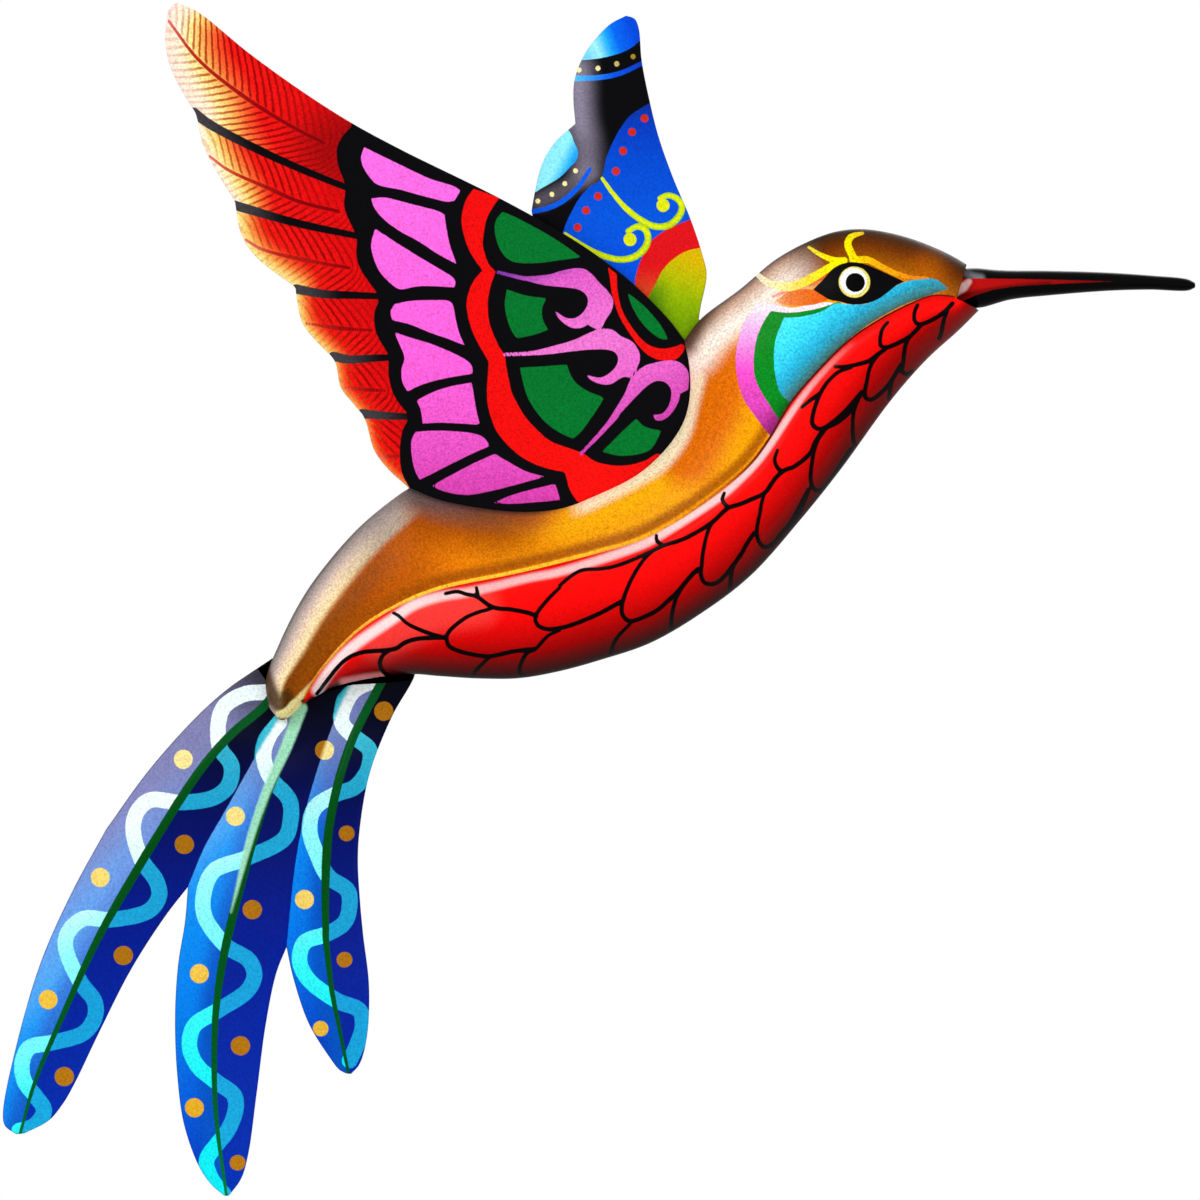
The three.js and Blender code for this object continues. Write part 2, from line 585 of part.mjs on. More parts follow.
function backPlate() {
  const upper = trimmed(beside(backEdge, -SHEET - GAP), 4, 0);
  const lower = trimmed(beside(bellyEdge, SHEET + GAP), 4, 0);
  const sheet = plate([...upper, ...lower.reverse()], PLATE_REAR, PLATE_FRONT);
  const rivets = [...STRAP_RIVETS, ...NEAR_WING_RIVETS, ...FAR_WING_RIVETS, ...TAIL_RIVETS, ...BEAK_RIVETS];
  return drill(sheet, rivets, RIVET_HOLE);
}

// An upright slot with round ends, between two centres one above the other
function roundEnded([x, z], length, radius) {
  const arc = (centreZ, start) => Array.from({ length: ROUND_SIDES / 2 + 1 }, (_, k) => {
    const turn = start + 2 * Math.PI * k / ROUND_SIDES;
    return [x + radius * Math.cos(turn), centreZ + radius * Math.sin(turn)];
  });
  return [...arc(z, 0), ...arc(z - length, Math.PI)];
}

function hangerStrap() {
  const half = STRAP_WIDTH / 2;
  const top = [NAIL[0], NAIL[1] + STRAP_ABOVE_NAIL - half];
  const straight = STRAP_ABOVE_NAIL + STRAP_BELOW_NAIL - STRAP_WIDTH;
  const bar = plate(roundEnded(top, straight, half), 0, STRAP_THICKNESS);
  const slot = plate(roundEnded(NAIL, KEYHOLE_DROP, SLOT_WIDTH / 2), BEHIND_ALL, PLATE_FRONT);
  const keyed = drill(bar.subtract(slot), [[NAIL[0], NAIL[1] - KEYHOLE_DROP]], KEYHOLE_RADIUS);
  return STRAP_RIVETS.reduce((rest, place) => rest.subtract(countersunk(place, GAP)), keyed);
}

// The finished mesh of one piece, moved so that the nail is the origin
function piece(name, body, [color, roughness, metalness]) {
  const { vertProperties, triVerts } = body.getMesh();
  const geometry = new THREE.BufferGeometry();
  geometry.setAttribute('position', new THREE.BufferAttribute(vertProperties, 3));
  geometry.setIndex(new THREE.BufferAttribute(triVerts, 1));
  geometry.translate(-NAIL[0], 0, -NAIL[1]);
  geometry.computeVertexNormals();
  const mesh = new THREE.Mesh(geometry, new THREE.MeshStandardMaterial({ color, roughness, metalness }));
  mesh.name = name;
  return mesh;
}

const pieces = [
  piece('body_shell', bodyShell(), GOLD),
  piece('breast_panel', breastPanel(), BREAST_RED),
  piece('beak', drill(beakSpike(), BEAK_RIVETS, RIVET_HOLE), BREAST_RED),
  piece('back_plate', backPlate(), BLACK),
  piece('near_wing', drill(nearWing(), NEAR_WING_RIVETS, RIVET_HOLE), WING_RED),
  piece('far_wing', drill(farWing(), FAR_WING_RIVETS, RIVET_HOLE), WING_BLUE),
  piece('tail_fan', drill(tailFan(), TAIL_RIVETS, RIVET_HOLE), TAIL_BLUE),
  piece('hanger_strap', hangerStrap(), STEEL),
];
const riveted = [
  ['near_wing', NEAR_WING_RIVETS, OUTER_SHEET + SHEET],
  ['far_wing', FAR_WING_RIVETS, INNER_SHEET + SHEET],
  ['tail', TAIL_RIVETS, INNER_SHEET + SHEET],
  ['beak', BEAK_RIVETS, INNER_SHEET + TANG_THICKNESS],
];
for (const [name, places, front] of riveted) {
  places.forEach((place, k) => {
    pieces.push(piece(`${name}_rivet_${k + 1}`, rivet(place, PLATE_REAR, front), STEEL));
  });
}
STRAP_RIVETS.forEach((place, k) => {
  pieces.push(piece(`hanger_strap_rivet_${k + 1}`, strapRivet(place), STEEL));
});

const hummingbird = new THREE.Group();
hummingbird.add(...pieces);
export default hummingbird;
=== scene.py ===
"""Looks of a painted pressed-metal hummingbird that hangs on a wall.

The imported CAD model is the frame. Every painted sheet is replaced by a fine numpy surface of the same
shape, and the enamel on it is built from layers: each layer has a signed distance in millimetres to the
border of its paint, kept on the mesh as an attribute, so that its material draws the border sharply at
any distance. Sizes are millimetres in the square that the bird fills, seen from the front: x to the
right, z up, and depth out of the wall. One function turns them to the frame's metres.
"""

import logging
import math
from dataclasses import dataclass, field
from enum import Enum
from typing import Callable, Iterable, Sequence

import bmesh
import bpy
import numpy as np
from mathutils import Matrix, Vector


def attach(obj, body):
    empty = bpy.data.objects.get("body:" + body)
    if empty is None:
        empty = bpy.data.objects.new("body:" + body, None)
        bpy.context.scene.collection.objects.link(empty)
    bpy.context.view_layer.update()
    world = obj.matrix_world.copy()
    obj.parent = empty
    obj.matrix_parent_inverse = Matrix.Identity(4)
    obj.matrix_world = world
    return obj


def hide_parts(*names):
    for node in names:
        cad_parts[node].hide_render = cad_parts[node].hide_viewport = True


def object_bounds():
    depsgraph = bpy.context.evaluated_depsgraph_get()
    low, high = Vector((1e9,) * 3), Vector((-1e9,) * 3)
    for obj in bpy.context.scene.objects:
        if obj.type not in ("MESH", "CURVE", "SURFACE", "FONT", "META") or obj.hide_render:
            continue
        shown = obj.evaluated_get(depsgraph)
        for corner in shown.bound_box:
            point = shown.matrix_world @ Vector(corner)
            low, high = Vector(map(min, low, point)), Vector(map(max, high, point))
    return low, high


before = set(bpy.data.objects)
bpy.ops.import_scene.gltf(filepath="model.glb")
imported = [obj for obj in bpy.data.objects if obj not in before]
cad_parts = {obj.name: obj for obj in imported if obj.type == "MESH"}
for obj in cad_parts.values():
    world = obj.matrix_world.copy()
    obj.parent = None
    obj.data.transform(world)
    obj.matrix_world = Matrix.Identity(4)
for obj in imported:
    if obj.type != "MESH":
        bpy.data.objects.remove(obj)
CAD_BOX = [list(corner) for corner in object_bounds()]

log = logging.getLogger("hummingbird")
logging.basicConfig(level=logging.INFO, format="%(name)s: %(message)s")

Array = np.ndarray
Points = Sequence[tuple[float, float]]
Socket = bpy.types.NodeSocket
Tree = bpy.types.NodeTree
Material = bpy.types.Material

# Spacing of the points of a line, coarser where it only shapes a dome, and samples on a curve's stretch
LINE_STEP = 0.8
DOME_STEP = 1.6
CURVE_SAMPLES = 24
# Least half square of two summed normals, which blunts a line's offset at a sharp corner
MITRE_LIMIT = 0.4
# Distances to a border of paint are kept up to this reach, and a point this near to an edge lies on it
FIELD_REACH = 3.0
ON_EDGE = 0.05
# Places of the rings round a rolled edge, as shares of the way from the front face to the rear
ROLL_SHARES = (0.2, 0.5, 0.8)
# Height of the small bevels at the foot of a skirt, and the share of the sheet that they take
BEVEL = 0.1
BEVEL_SHARE = 0.15
# Place of a skirt's middle ring, as a share of the way from its shoulder to its foot
SKIRT_WAIST = 0.35
# Vertices nearer to each other than this, in metres, are one
MERGE_WITHIN = 2e-6

# Sheet metal, its fits and its stack of depths out of the wall, as in the CAD model
SHEET = 0.8
GAP = 0.3
NAIL = (-16.0, 72.0)
STRAP_THICKNESS = 1.5
PLATE_REAR = STRAP_THICKNESS + GAP
PLATE_FRONT = PLATE_REAR + SHEET
INNER_SHEET = PLATE_FRONT + GAP
OUTER_SHEET = INNER_SHEET + SHEET + GAP
RIM = OUTER_SHEET + SHEET + 2 * GAP
BODY_CROWN = 12.0
BODY_CROWN_WIDTH = 14.0
BODY_ROUNDNESS = 0.7
BREAST_SWELL = 2.2
BREAST_SHOULDER = 5.0
LAP = 5.0
BREAST_STEP = 2 * GAP + SHEET

# Body outline: back, saddle, crown, rump tip, belly, and the top edge of the breast
BACK = ((-82.8, -26.2), (-83.4, -20), (-80, -10.75), (-75, -0.75), (-70, 6.75), (-60, 18.25), (-50, 26.4),
        (-47.5, 28))
SADDLE = ((-47.5, 28), (-40, 25), (-30, 23), (-20, 22), (-10, 22.75), (0, 26.5), (10, 31.75), (17.5, 39),
          (21.25, 45.5), (22.5, 52), (22.25, 58.75), (21, 64.75))
CROWN = ((21, 64.75), (25, 70), (35, 77.6), (45, 85.75), (57.5, 91.6), (65, 92.6), (72.5, 91.6),
         (80, 89.4), (87.5, 86.1), (91.5, 83.75))
RUMP_TIP = ((-82, -27.6), (-79.5, -30), (-77.25, -29), (-74.25, -26))
BELLY = (
    (-74.25, -26), (-66.25, -21.75), (-57, -19.5), (-47, -18.5), (-40, -19), (-30, -19.6), (-20, -19.5),
    (-10, -17.75), (0, -15), (12.5, -10.75), (25, -3.5), (37.5, 6), (50, 20), (60, 32.5), (72.75, 50),
    (81.5, 60), (89.75, 67.5), (94.5, 72.25),
)
BREAST_TOP = (
    (-74, -25.5), (-70, -18.5), (-60, -7.75), (-50, -1.5), (-40, 2.5), (-20, 6.75), (0, 11.75), (10, 14.75),
    (20, 20), (30, 27), (37.5, 33.5), (42.5, 40.25), (47.5, 48.75), (55, 57.5), (62.5, 64.75), (70, 69.75),
    (77.5, 73.6), (83, 75.6), (88, 75.4),
)

# Near wing: leading edge, root hidden in the body, and the ends of its six feathers
NEAR_LEADING = (
    (-105, 148.25), (-100, 146), (-87.5, 136), (-75, 127), (-62.5, 119), (-50, 112.25), (-25, 100),
    (-8.75, 91), (0, 85.25), (8, 79), (17, 70), (21, 64.75),
)
NEAR_ROOT = (
    (21, 64.75), (25.5, 60), (27, 52), (26.5, 43), (24, 33), (18, 23), (8, 14.5), (-5, 10), (-20, 9),
    (-38, 12), (-46, 17), (-47.5, 28),
)
NEAR_FEATHERS = (
    ((-47.5, 28), (-53, 33), (-56.25, 37.5), (-58.25, 44.5), (-59.25, 46.5)),
    ((-59.25, 46.5), (-62, 49.75), (-64.5, 53), (-65.75, 59), (-66.75, 60.75)),
    ((-66.75, 60.75), (-70.5, 64.5), (-74, 69), (-75.5, 75.5), (-75.75, 78)),
    ((-75.75, 78), (-85.5, 85.5), (-89.25, 91.25), (-90.5, 97.5), (-90.75, 99.25)),
    ((-90.75, 99.25), (-96, 108), (-98.75, 113.75), (-100, 119.5), (-100.5, 121.25)),
    ((-100.5, 121.25), (-105, 128.75), (-107.25, 134.5), (-107.9, 140), (-107.5, 144), (-106.75, 147),
     (-105, 148.25)),
)

# Far wing: the two lobes of its left side, its hidden root, and its right side
FAR_TIP_LOBE = (
    (6.5, 145.4), (2.5, 143.25), (-2, 138.5), (-4.5, 134.5), (-6.25, 129.5), (-6.5, 125), (-6, 118.75),
)
FAR_LOWER_LOBE = ((-6, 118.75), (-11.25, 114), (-14.25, 109), (-16, 102.5), (-17, 97))
FAR_ROOT = (
    (-17, 97), (-14, 87), (-8, 79), (2, 70), (12, 60), (22, 47), (28, 41.5), (34, 41.5), (37.5, 48),
    (37, 57), (31, 66), (24.5, 70),
)
FAR_RIGHT = (
    (24.5, 70), (25, 73.25), (26.5, 81.25), (25.5, 86), (22.5, 95), (18.25, 105), (14.5, 115.5), (12, 125.5),
    (10.25, 134.5), (9.5, 142.5), (8.5, 144.75), (6.5, 145.4),
)

# Tail: the lines of its fold from the rump to the notches, then those of the three separate tips
TAIL_EDGE_LEFT = (
    (-81.5, -14.5), (-87.5, -18.5), (-92.5, -22), (-100, -28.6), (-112.5, -42.5), (-123.2, -57.3),
)
TAIL_RIB_LEFT = (
    (-79.5, -19), (-83, -25.5), (-91.75, -33.25), (-98.25, -40.5), (-103.75, -48.25), (-113.2, -63.4),
)
TAIL_VALLEY_LEFT = (
    (-76.5, -23), (-80.25, -29.75), (-84.5, -36.5), (-93.5, -52.5), (-98.75, -61.75), (-102.75, -71.25),
)
TAIL_RIB_MIDDLE = (
    (-71.5, -20.5), (-75, -27), (-78, -36.5), (-82.75, -47.75), (-86.5, -59.5), (-91.35, -77.8),
)
TAIL_VALLEY_RIGHT = (
    (-59.5, -16), (-62.25, -21.25), (-66, -29.25), (-72.5, -48.75), (-75, -59.5), (-76.5, -69.25),
    (-78.25, -86.25),
)
TAIL_RIB_RIGHT = (
    (-52.5, -15.5), (-54.25, -19.75), (-61.5, -34), (-65.5, -46.25), (-67.75, -58.25), (-68.5, -71.25),
    (-68.4, -84.5),
)
TAIL_EDGE_RIGHT = (
    (-46, -14.5), (-46.4, -18.75), (-52, -28.9), (-57.6, -43.1), (-60, -56), (-60.6, -64.75), (-60, -76),
    (-59.3, -83.5),
)
TAIL_TIPS = (
    (((-123.2, -57.3), (-131.5, -72.5), (-139.25, -89.75), (-145.25, -109.75), (-149, -128.25),
      (-148.5, -131.25), (-145.8, -133.3)),
     ((-113.2, -63.4), (-124.75, -83.5), (-132.5, -100.25), (-141, -120.25), (-144.8, -133.2)),
     ((-102.75, -71.25), (-108.75, -79), (-117.25, -92.25), (-125, -107.5), (-131.5, -121),
      (-134.25, -125.75), (-137.75, -129.9), (-143.8, -133.1))),
    (((-102.75, -71.25), (-103.5, -80.25), (-105.25, -91.25), (-106, -104.5), (-105.4, -119.25),
      (-103.75, -131), (-100, -141.5), (-97, -145.9), (-93.9, -148.6)),
     ((-91.35, -77.8), (-94, -89.5), (-95.75, -102), (-96.25, -115.75), (-95.75, -129.25), (-93.3, -148.7)),
     ((-78.25, -86.25), (-81, -93.25), (-83.65, -106.25), (-85.85, -123), (-88, -138.5), (-89.75, -144.5),
      (-92.7, -148.6))),
    (((-78.25, -86.25), (-76.5, -94.25), (-72.6, -105.75), (-67.25, -114.4), (-65, -117.25),
      (-63.4, -118.1)),
     ((-68.4, -84.5), (-67, -96.75), (-65, -107), (-62.8, -118.2)),
     ((-59.3, -83.5), (-57.8, -96.75), (-58.4, -109.5), (-60.25, -116), (-62.2, -118.2))),
)
TAIL_PAD_TOP = ((-46, -14.5), (-52, -8.5), (-61, -5.5), (-70, -6), (-77.5, -10), (-81.5, -14.5))

# Beak: upper and lower edge
BEAK_TOP = (
    (84, 81), (88.5, 82.3), (91, 82.8), (94, 82.9), (100, 82.4), (112.5, 82.25), (125, 81.9), (137.5, 81.1),
    (147, 80.1), (148.6, 79.2),
)
BEAK_BOTTOM = (
    (84, 76.2), (88, 74.3), (92, 73.1), (95, 73), (102.5, 75), (112.5, 76.1), (127.5, 77.25), (137.5, 77.5),
    (147, 77.3), (148.6, 78),
)

# Ornament, as outlines and centre lines on the sheets
BAND_EDGE = (
    ((-62, 117.75), (-64.25, 115.25), (-65.5, 112.5), (-65.5, 110), (-65, 107.5), (-64, 105),
     (-63.5, 103.25)),
    ((-63.5, 101.25), (-63.75, 98.75), (-63.25, 96.25), (-62, 93.5), (-61, 91.25)),
    ((-60.5, 89.25), (-60.75, 87), (-60.25, 83.75), (-59, 81.25), (-57.25, 78.75), (-55.75, 76.75)),
    ((-55.25, 74.25), (-56.25, 71.75), (-56.25, 68.75), (-55.5, 65.75), (-54, 63.25), (-53, 61.5)),
    ((-52.75, 59.25), (-52.75, 56.25), (-52, 52.5), (-50.5, 49.5), (-48.25, 46.75)),
    ((-48, 44.75), (-49.25, 42.5), (-49.75, 40), (-50, 36.25), (-49.5, 32), (-48.75, 30)),
)
FEATHER_GAPS = (
    ((-101, 121.3), (-97.5, 118.6), (-87.5, 113.25), (-75, 107.5), (-63.25, 102.75)),
    ((-91, 98.3), (-87.5, 97.25), (-75, 93.75), (-60.75, 90.75)),
    ((-75.75, 77.5), (-68.75, 76.25), (-62.5, 76), (-55.5, 75.75)),
    ((-66.5, 60.75), (-62.5, 60), (-57.5, 60.25), (-52.5, 60.5)),
    ((-59.25, 46.5), (-53.75, 46), (-48, 45.75)),
)
FEATHER_SHAFTS = (
    ((-107.25, 144), (-100, 134.5), (-90, 126.25), (-77.5, 118.25), (-68.75, 113.75)),
    ((-97.25, 110.5), (-92.5, 107), (-82.5, 102.5), (-75, 99.25), (-65, 96.75)),
    ((-88.25, 89.75), (-84.5, 87.5), (-75, 85), (-62.5, 82.75)),
    ((-73.5, 69), (-65, 67.75), (-57, 67.25)),
    ((-64, 53), (-58.75, 52.5), (-53.75, 52.25)),
    ((-55.75, 35.75), (-52.5, 35.75), (-50, 36)),
)
PINK_CELLS = (
    ((-58.75, 112.75), (-50, 108.5), (-42.5, 105), (-36.25, 103), (-34.75, 102), (-36.25, 99.5),
     (-38, 99.25), (-42.5, 100.25), (-50, 102.25), (-55.5, 103.5), (-57.5, 105.5), (-59, 108),
     (-59.5, 110)),
    ((-57, 100), (-53.75, 100.25), (-47.5, 98.75), (-40, 96.75), (-38.75, 96), (-38.25, 92.5),
     (-37.5, 88.75), (-35.75, 83.75), (-40, 86), (-45, 89.25), (-50, 92), (-53.75, 94.75),
     (-56.25, 97.75)),
    ((-56, 92.5), (-53.75, 91), (-47.5, 87), (-40, 82.5), (-36.75, 80.5), (-36, 79.5), (-36.25, 78),
     (-45, 78.25), (-50, 77.5), (-52, 78.75), (-55, 82), (-56.5, 85.5), (-57, 88.75)),
    ((-51.25, 73.75), (-47.5, 74.5), (-42.5, 74.75), (-37.5, 74.5), (-36.75, 73.75), (-36, 70),
     (-35, 66.25), (-33.75, 63.5), (-37.5, 65), (-42.5, 66.75), (-47.5, 68.75), (-51.75, 69.75),
     (-52.25, 71.75)),
    ((-51.25, 66.75), (-47.5, 65.5), (-42.5, 64), (-37.5, 62), (-33.25, 59.75), (-32, 58.5),
     (-31.75, 56.5), (-40, 55), (-45, 53.5), (-48, 52), (-49.25, 54.25), (-49.5, 57.5), (-48.75, 60.5),
     (-50, 63.75)),
    ((-45.75, 49.75), (-42.5, 51.5), (-37.5, 53.25), (-32, 54.25), (-31.5, 51.25), (-31, 48),
     (-30, 43.75), (-40, 44.25), (-44.25, 44), (-44.75, 47.5)),
    ((-46, 42), (-40, 42.25), (-31.25, 41.5), (-29, 40.5), (-27.5, 38.5), (-32.5, 36.25), (-42.5, 31.25),
     (-45, 30), (-46.25, 32.5), (-47, 36.25), (-47, 40)),
    ((-42, 28.5), (-37.5, 31), (-31.25, 34.25), (-26.25, 36.5), (-23.75, 35), (-18.75, 32.25),
     (-13.75, 30.75), (-25, 27.75), (-32.5, 26.25), (-36.25, 26.5), (-40, 27.5)),
    ((-26.5, 24.25), (-22.5, 26), (-17.5, 27.5), (-11.25, 29), (-10.5, 27), (-10, 25), (-15, 24.5),
     (-22.5, 24)),
)
RED_BAND_LEFT = (
    ((-31.5, 102.5), (-33.25, 100), (-34.25, 97), (-34.5, 94.5), (-34, 91.25), (-32.75, 87.5),
     (-31, 84.5), (-29.25, 82.25)),
    ((-31.25, 80), (-32.5, 77.5), (-33.25, 74.25), (-33, 71.25), (-32, 67.5), (-30.25, 63.75),
     (-27.75, 59.5)),
    ((-28.25, 52.5), (-28, 48.75), (-27.25, 45.75), (-26, 42.5), (-24, 39.75), (-21.25, 37),
     (-17.5, 34.5), (-13.75, 33), (-10.5, 32.25), (-8.75, 32)),
    ((-8.75, 32), (-8.25, 30), (-7.5, 27.5), (-5.5, 24.25)),
)
RED_BAND_RIGHT = (
    ((-25, 100.25), (-26.5, 98.25), (-28.25, 95), (-29, 91.25), (-29.25, 88.75), (-28.5, 85.5),
     (-27.25, 83), (-26, 82)),
    ((-27, 79.25), (-27.75, 76.25), (-28, 72.5), (-27.5, 68.75), (-26.25, 65.5), (-24.75, 62.5),
     (-23.75, 61.25)),
    ((-23.5, 58.75), (-22.75, 55), (-22, 51.75), (-20.5, 48.75), (-18.5, 45.5), (-15.75, 42.5),
     (-12.5, 39.75), (-8.75, 38.25), (-4, 36.5), (-2, 35), (0.75, 34), (5, 33.5), (8.75, 34),
     (11.75, 35)),
)
GREEN_CELLS = (
    ((-24.25, 96.75), (-21.25, 95.5), (-15, 92.25), (-10, 89.25), (-4.75, 85.5), (-10, 84.75),
     (-16.25, 84), (-21.25, 84.25), (-23.25, 85.25), (-25, 87.5), (-26, 90.5), (-26.25, 93),
     (-25.75, 95)),
    ((-23.25, 77.5), (-18.75, 76), (-13.25, 75.25), (-14.25, 73.5), (-14.5, 71.25), (-13.75, 68.75),
     (-12.75, 67.5), (-16.25, 66.25), (-20.75, 65.25), (-22.25, 67.5), (-23.25, 70.5), (-23.75, 73.75)),
    ((-20, 58), (-15, 58.25), (-8.25, 58.75), (-7.5, 56.5), (-6.25, 54.5), (-3.75, 52.5), (1, 50.5),
     (0, 48.75), (-2.5, 45), (-5, 41.75), (-6.75, 40.25), (-10, 41.75), (-13.75, 44.5), (-16.75, 48.25),
     (-18.5, 51.75)),
    ((9, 45.25), (11.25, 43.25), (15.25, 42.25), (14.25, 40), (12.5, 37.5), (10, 36.5), (5, 36),
     (0.5, 37), (2.5, 39), (5.5, 42)),
    ((7, 76.5), (10, 74.25), (13, 71.25), (15.5, 68), (17, 65), (15, 65.25), (12, 67.5), (9.5, 70.5),
     (7.5, 74.5)),
)
CRESCENT = (
    (2, 83), (2.5, 80), (3, 76.25), (3.75, 73.75), (5, 70.5), (6.75, 67.5), (9, 64.25), (11.25, 61.75),
    (13.75, 60.25), (16.25, 59.75), (18.75, 60), (20.5, 61.5), (21.25, 63.25), (20.5, 64), (18.75, 63.25),
    (15.5, 62.75), (12.5, 63.5), (10, 65.5), (7.5, 68.75), (5.75, 71.75), (4.75, 75), (4.25, 78.75),
    (4.25, 81.25),
)
CURLS = (
    ((-25, 81.75), (-20, 80.75), (-12.5, 81.25), (-10, 82), (-6.25, 82.75), (-3.75, 82.5), (-2, 81.25),
     (0, 79), (2, 77), (3.25, 75), (3, 72.5), (1.5, 70), (0.5, 68), (-1.25, 67.75), (-3, 68.75),
     (-4.5, 68), (-6.25, 67.75), (-8.25, 68.5), (-10.5, 70.5), (-11.25, 72.25), (-8.75, 70.5),
     (-6.75, 70.25), (-4.75, 71.25), (-3.25, 73.25), (-3, 75), (-3.75, 76.5), (-5.5, 77.5), (-8.75, 78),
     (-13.75, 78.5), (-18.75, 79.75)),
    ((-23.75, 61.25), (-17.5, 62), (-11.25, 63.5), (-6.25, 65), (-2.5, 66.75), (0, 67.5), (3, 67.5),
     (5, 66), (8, 64.5), (9.5, 62.5), (10, 60.5), (9.25, 58), (7.5, 55.5), (6.25, 55.75), (4.5, 55),
     (3, 54), (1, 53.75), (-2, 54.75), (-3.75, 56.5), (-2.5, 56), (0, 55.5), (2.5, 56.75), (4.25, 58.75),
     (4.5, 60.75), (3.5, 62), (1.25, 62.5), (-2.5, 62.5), (-7.5, 62), (-13.75, 61.25), (-20, 61)),
    ((-4.25, 37), (0, 42), (3.75, 47.5), (6.25, 51.75), (7.5, 54.75), (9, 56.75), (11.25, 58.5),
     (13.75, 59.25), (16.25, 59.75), (18.75, 59.75), (20.75, 58.75), (22, 57), (22.25, 55), (22, 52.5),
     (20, 51.5), (19.75, 50), (18.5, 47.5), (17, 45.75), (15, 44.75), (13.75, 45), (13.25, 46.25),
     (15.5, 46.5), (17, 48.25), (17.75, 50.5), (17.75, 52.5), (16.75, 54), (15, 54.75), (13, 54.25),
     (11.25, 53), (8.75, 50.5), (5.5, 47), (1.25, 42), (-2.5, 38.25)),
)
CURL_TAILS = (
    ((-25.5, 81.75), (-19, 80.25), (-14, 79.75)),
    ((-24, 61.25), (-18, 61.5), (-12, 62.25)),
    ((-4.75, 36.5), (0, 41.5), (4, 46)),
)
TIP_CAP = (
    (-4.5, 134.5), (0, 135), (5, 136.25), (8, 137.75), (9.5, 139), (12.5, 142.5), (10, 147.5), (0, 145),
    (-5, 140),
)
UPPER_LINE = ((-6.5, 130), (0, 130.25), (5, 131.25), (10.5, 133.75))
LOWER_LINE = ((-2.5, 107.5), (-5.5, 103), (-8.75, 100), (-12.5, 98), (-16.75, 97))
CYAN_LOBE = (
    (-7.5, 116.75), (-6.5, 114.25), (-5.5, 112), (-5.75, 110), (-7.5, 108), (-10, 105.5),
    (-13.75, 103.25), (-16.25, 101.75), (-18.75, 107.5), (-15, 115), (-10, 118.75),
)
BLUE_FIELD_LEFT = (
    ((13, 124.25), (10, 122.5), (7.5, 120.75), (5, 117.5), (3, 113.75), (1.5, 110), (0.75, 106.25),
     (0, 104.5)),
    ((-2.5, 103.25), (-5, 100.5), (-6.75, 97.5), (-8.25, 94.5), (-9.5, 91)),
)
SCROLLS = (
    ((0.5, 105.25), (3, 101.75), (6.25, 98), (10, 95), (13.75, 93.25), (17, 93.5), (19.5, 95.5),
     (20.5, 98), (19.5, 100), (17, 101), (15, 100.25)),
    ((-8.75, 91.5), (-5, 89), (0, 86.25), (5, 85), (8.75, 85.75), (11.25, 88), (12, 90.5), (11.25, 92.5),
     (9.25, 93.25), (7, 92)),
)
RED_ARC = (
    (25, 97), (22.5, 95), (20, 94), (16.25, 92.25), (12.5, 89.25), (10.25, 85), (9, 81.25), (8.75, 78.5),
    (11, 72), (20, 75), (28, 84),
)
SUN = (
    (28, 88.5), (25.5, 88), (22, 87.25), (18.75, 85.5), (15.75, 82.5), (13.75, 78.75), (12, 75.5),
    (20, 64), (34, 70), (34, 88),
)
TAIL_WAVES = (
    ((-83.5, -23), (-88.75, -23.5), (-93.75, -26.5), (-95.25, -30.5), (-94.75, -37), (-92, -41.25),
     (-92.75, -46.25), (-96.25, -49.25), (-104.25, -50.5), (-112.5, -50), (-115.75, -53.25),
     (-116.5, -57.5), (-114.25, -65), (-110.75, -70), (-110, -73.75), (-112.5, -77.5), (-122, -79.75),
     (-128.75, -79.5), (-132.5, -82.5), (-133.5, -86.25), (-129.5, -95.5), (-126.25, -100),
     (-126, -103.75), (-128.75, -108), (-137, -110.5), (-142.5, -111.75), (-144.25, -115.5),
     (-143.75, -120), (-141, -123.75), (-138.75, -127.5), (-141.25, -131.25), (-145, -132.5)),
    ((-80, -30.5), (-82.5, -33.75), (-84, -38.75), (-82.25, -44.25), (-77.5, -50), (-77.25, -55),
     (-78.75, -59.5), (-88.5, -64.5), (-96.25, -67.5), (-98.75, -72.5), (-98.75, -78.75),
     (-93.25, -86.25), (-87.5, -90), (-86.25, -93.75), (-88, -97.5), (-95.5, -102.5), (-101.25, -106.25),
     (-102.5, -111.25), (-100.5, -116.25), (-96, -120), (-91.25, -123.75), (-91, -127.5),
     (-93, -132.5), (-95.5, -135.75), (-98.25, -140), (-96.75, -145), (-94, -148.25)),
    ((-56.25, -20), (-61.25, -22.5), (-63.75, -26.25), (-64.5, -30.5), (-61.5, -34), (-57.5, -37.5),
     (-58, -42.5), (-61.25, -46.75), (-66, -48.5), (-71.25, -52), (-72.5, -57.5), (-70.5, -63.75),
     (-67.75, -69), (-63, -72.5), (-62.5, -76.25), (-63.75, -80.5), (-68, -83.25), (-73.75, -85.5),
     (-75, -90), (-73, -94.5), (-65.5, -100), (-60, -102.5), (-59.25, -106.25), (-60.75, -111.25),
     (-62.5, -115)),
)
# Darker strokes of painted shade inside the bends of two waves near the root
WAVE_SHADES = (
    ((-80.5, -29.5), (-83.25, -32.5), (-85.25, -36.5), (-85.75, -40)),
    ((-61.5, -20.5), (-64.75, -24.5), (-66.25, -29.5)),
)
TAIL_DOTS = (
    ((-104, -39.75), (-103.75, -61), (-124.75, -69.25), (-119, -88.75), (-137.75, -99.75),
     (-133.75, -119), (-91, -54), (-86.75, -77.25), (-100, -93.25), (-89.75, -111.25),
     (-101.25, -126.75), (-54, -27.75), (-68.75, -37.5), (-73.75, -74.75)),
    ((-90.5, -140.5), (-63.25, -58.25), (-63.75, -89.75), (-69.75, -107)),
)
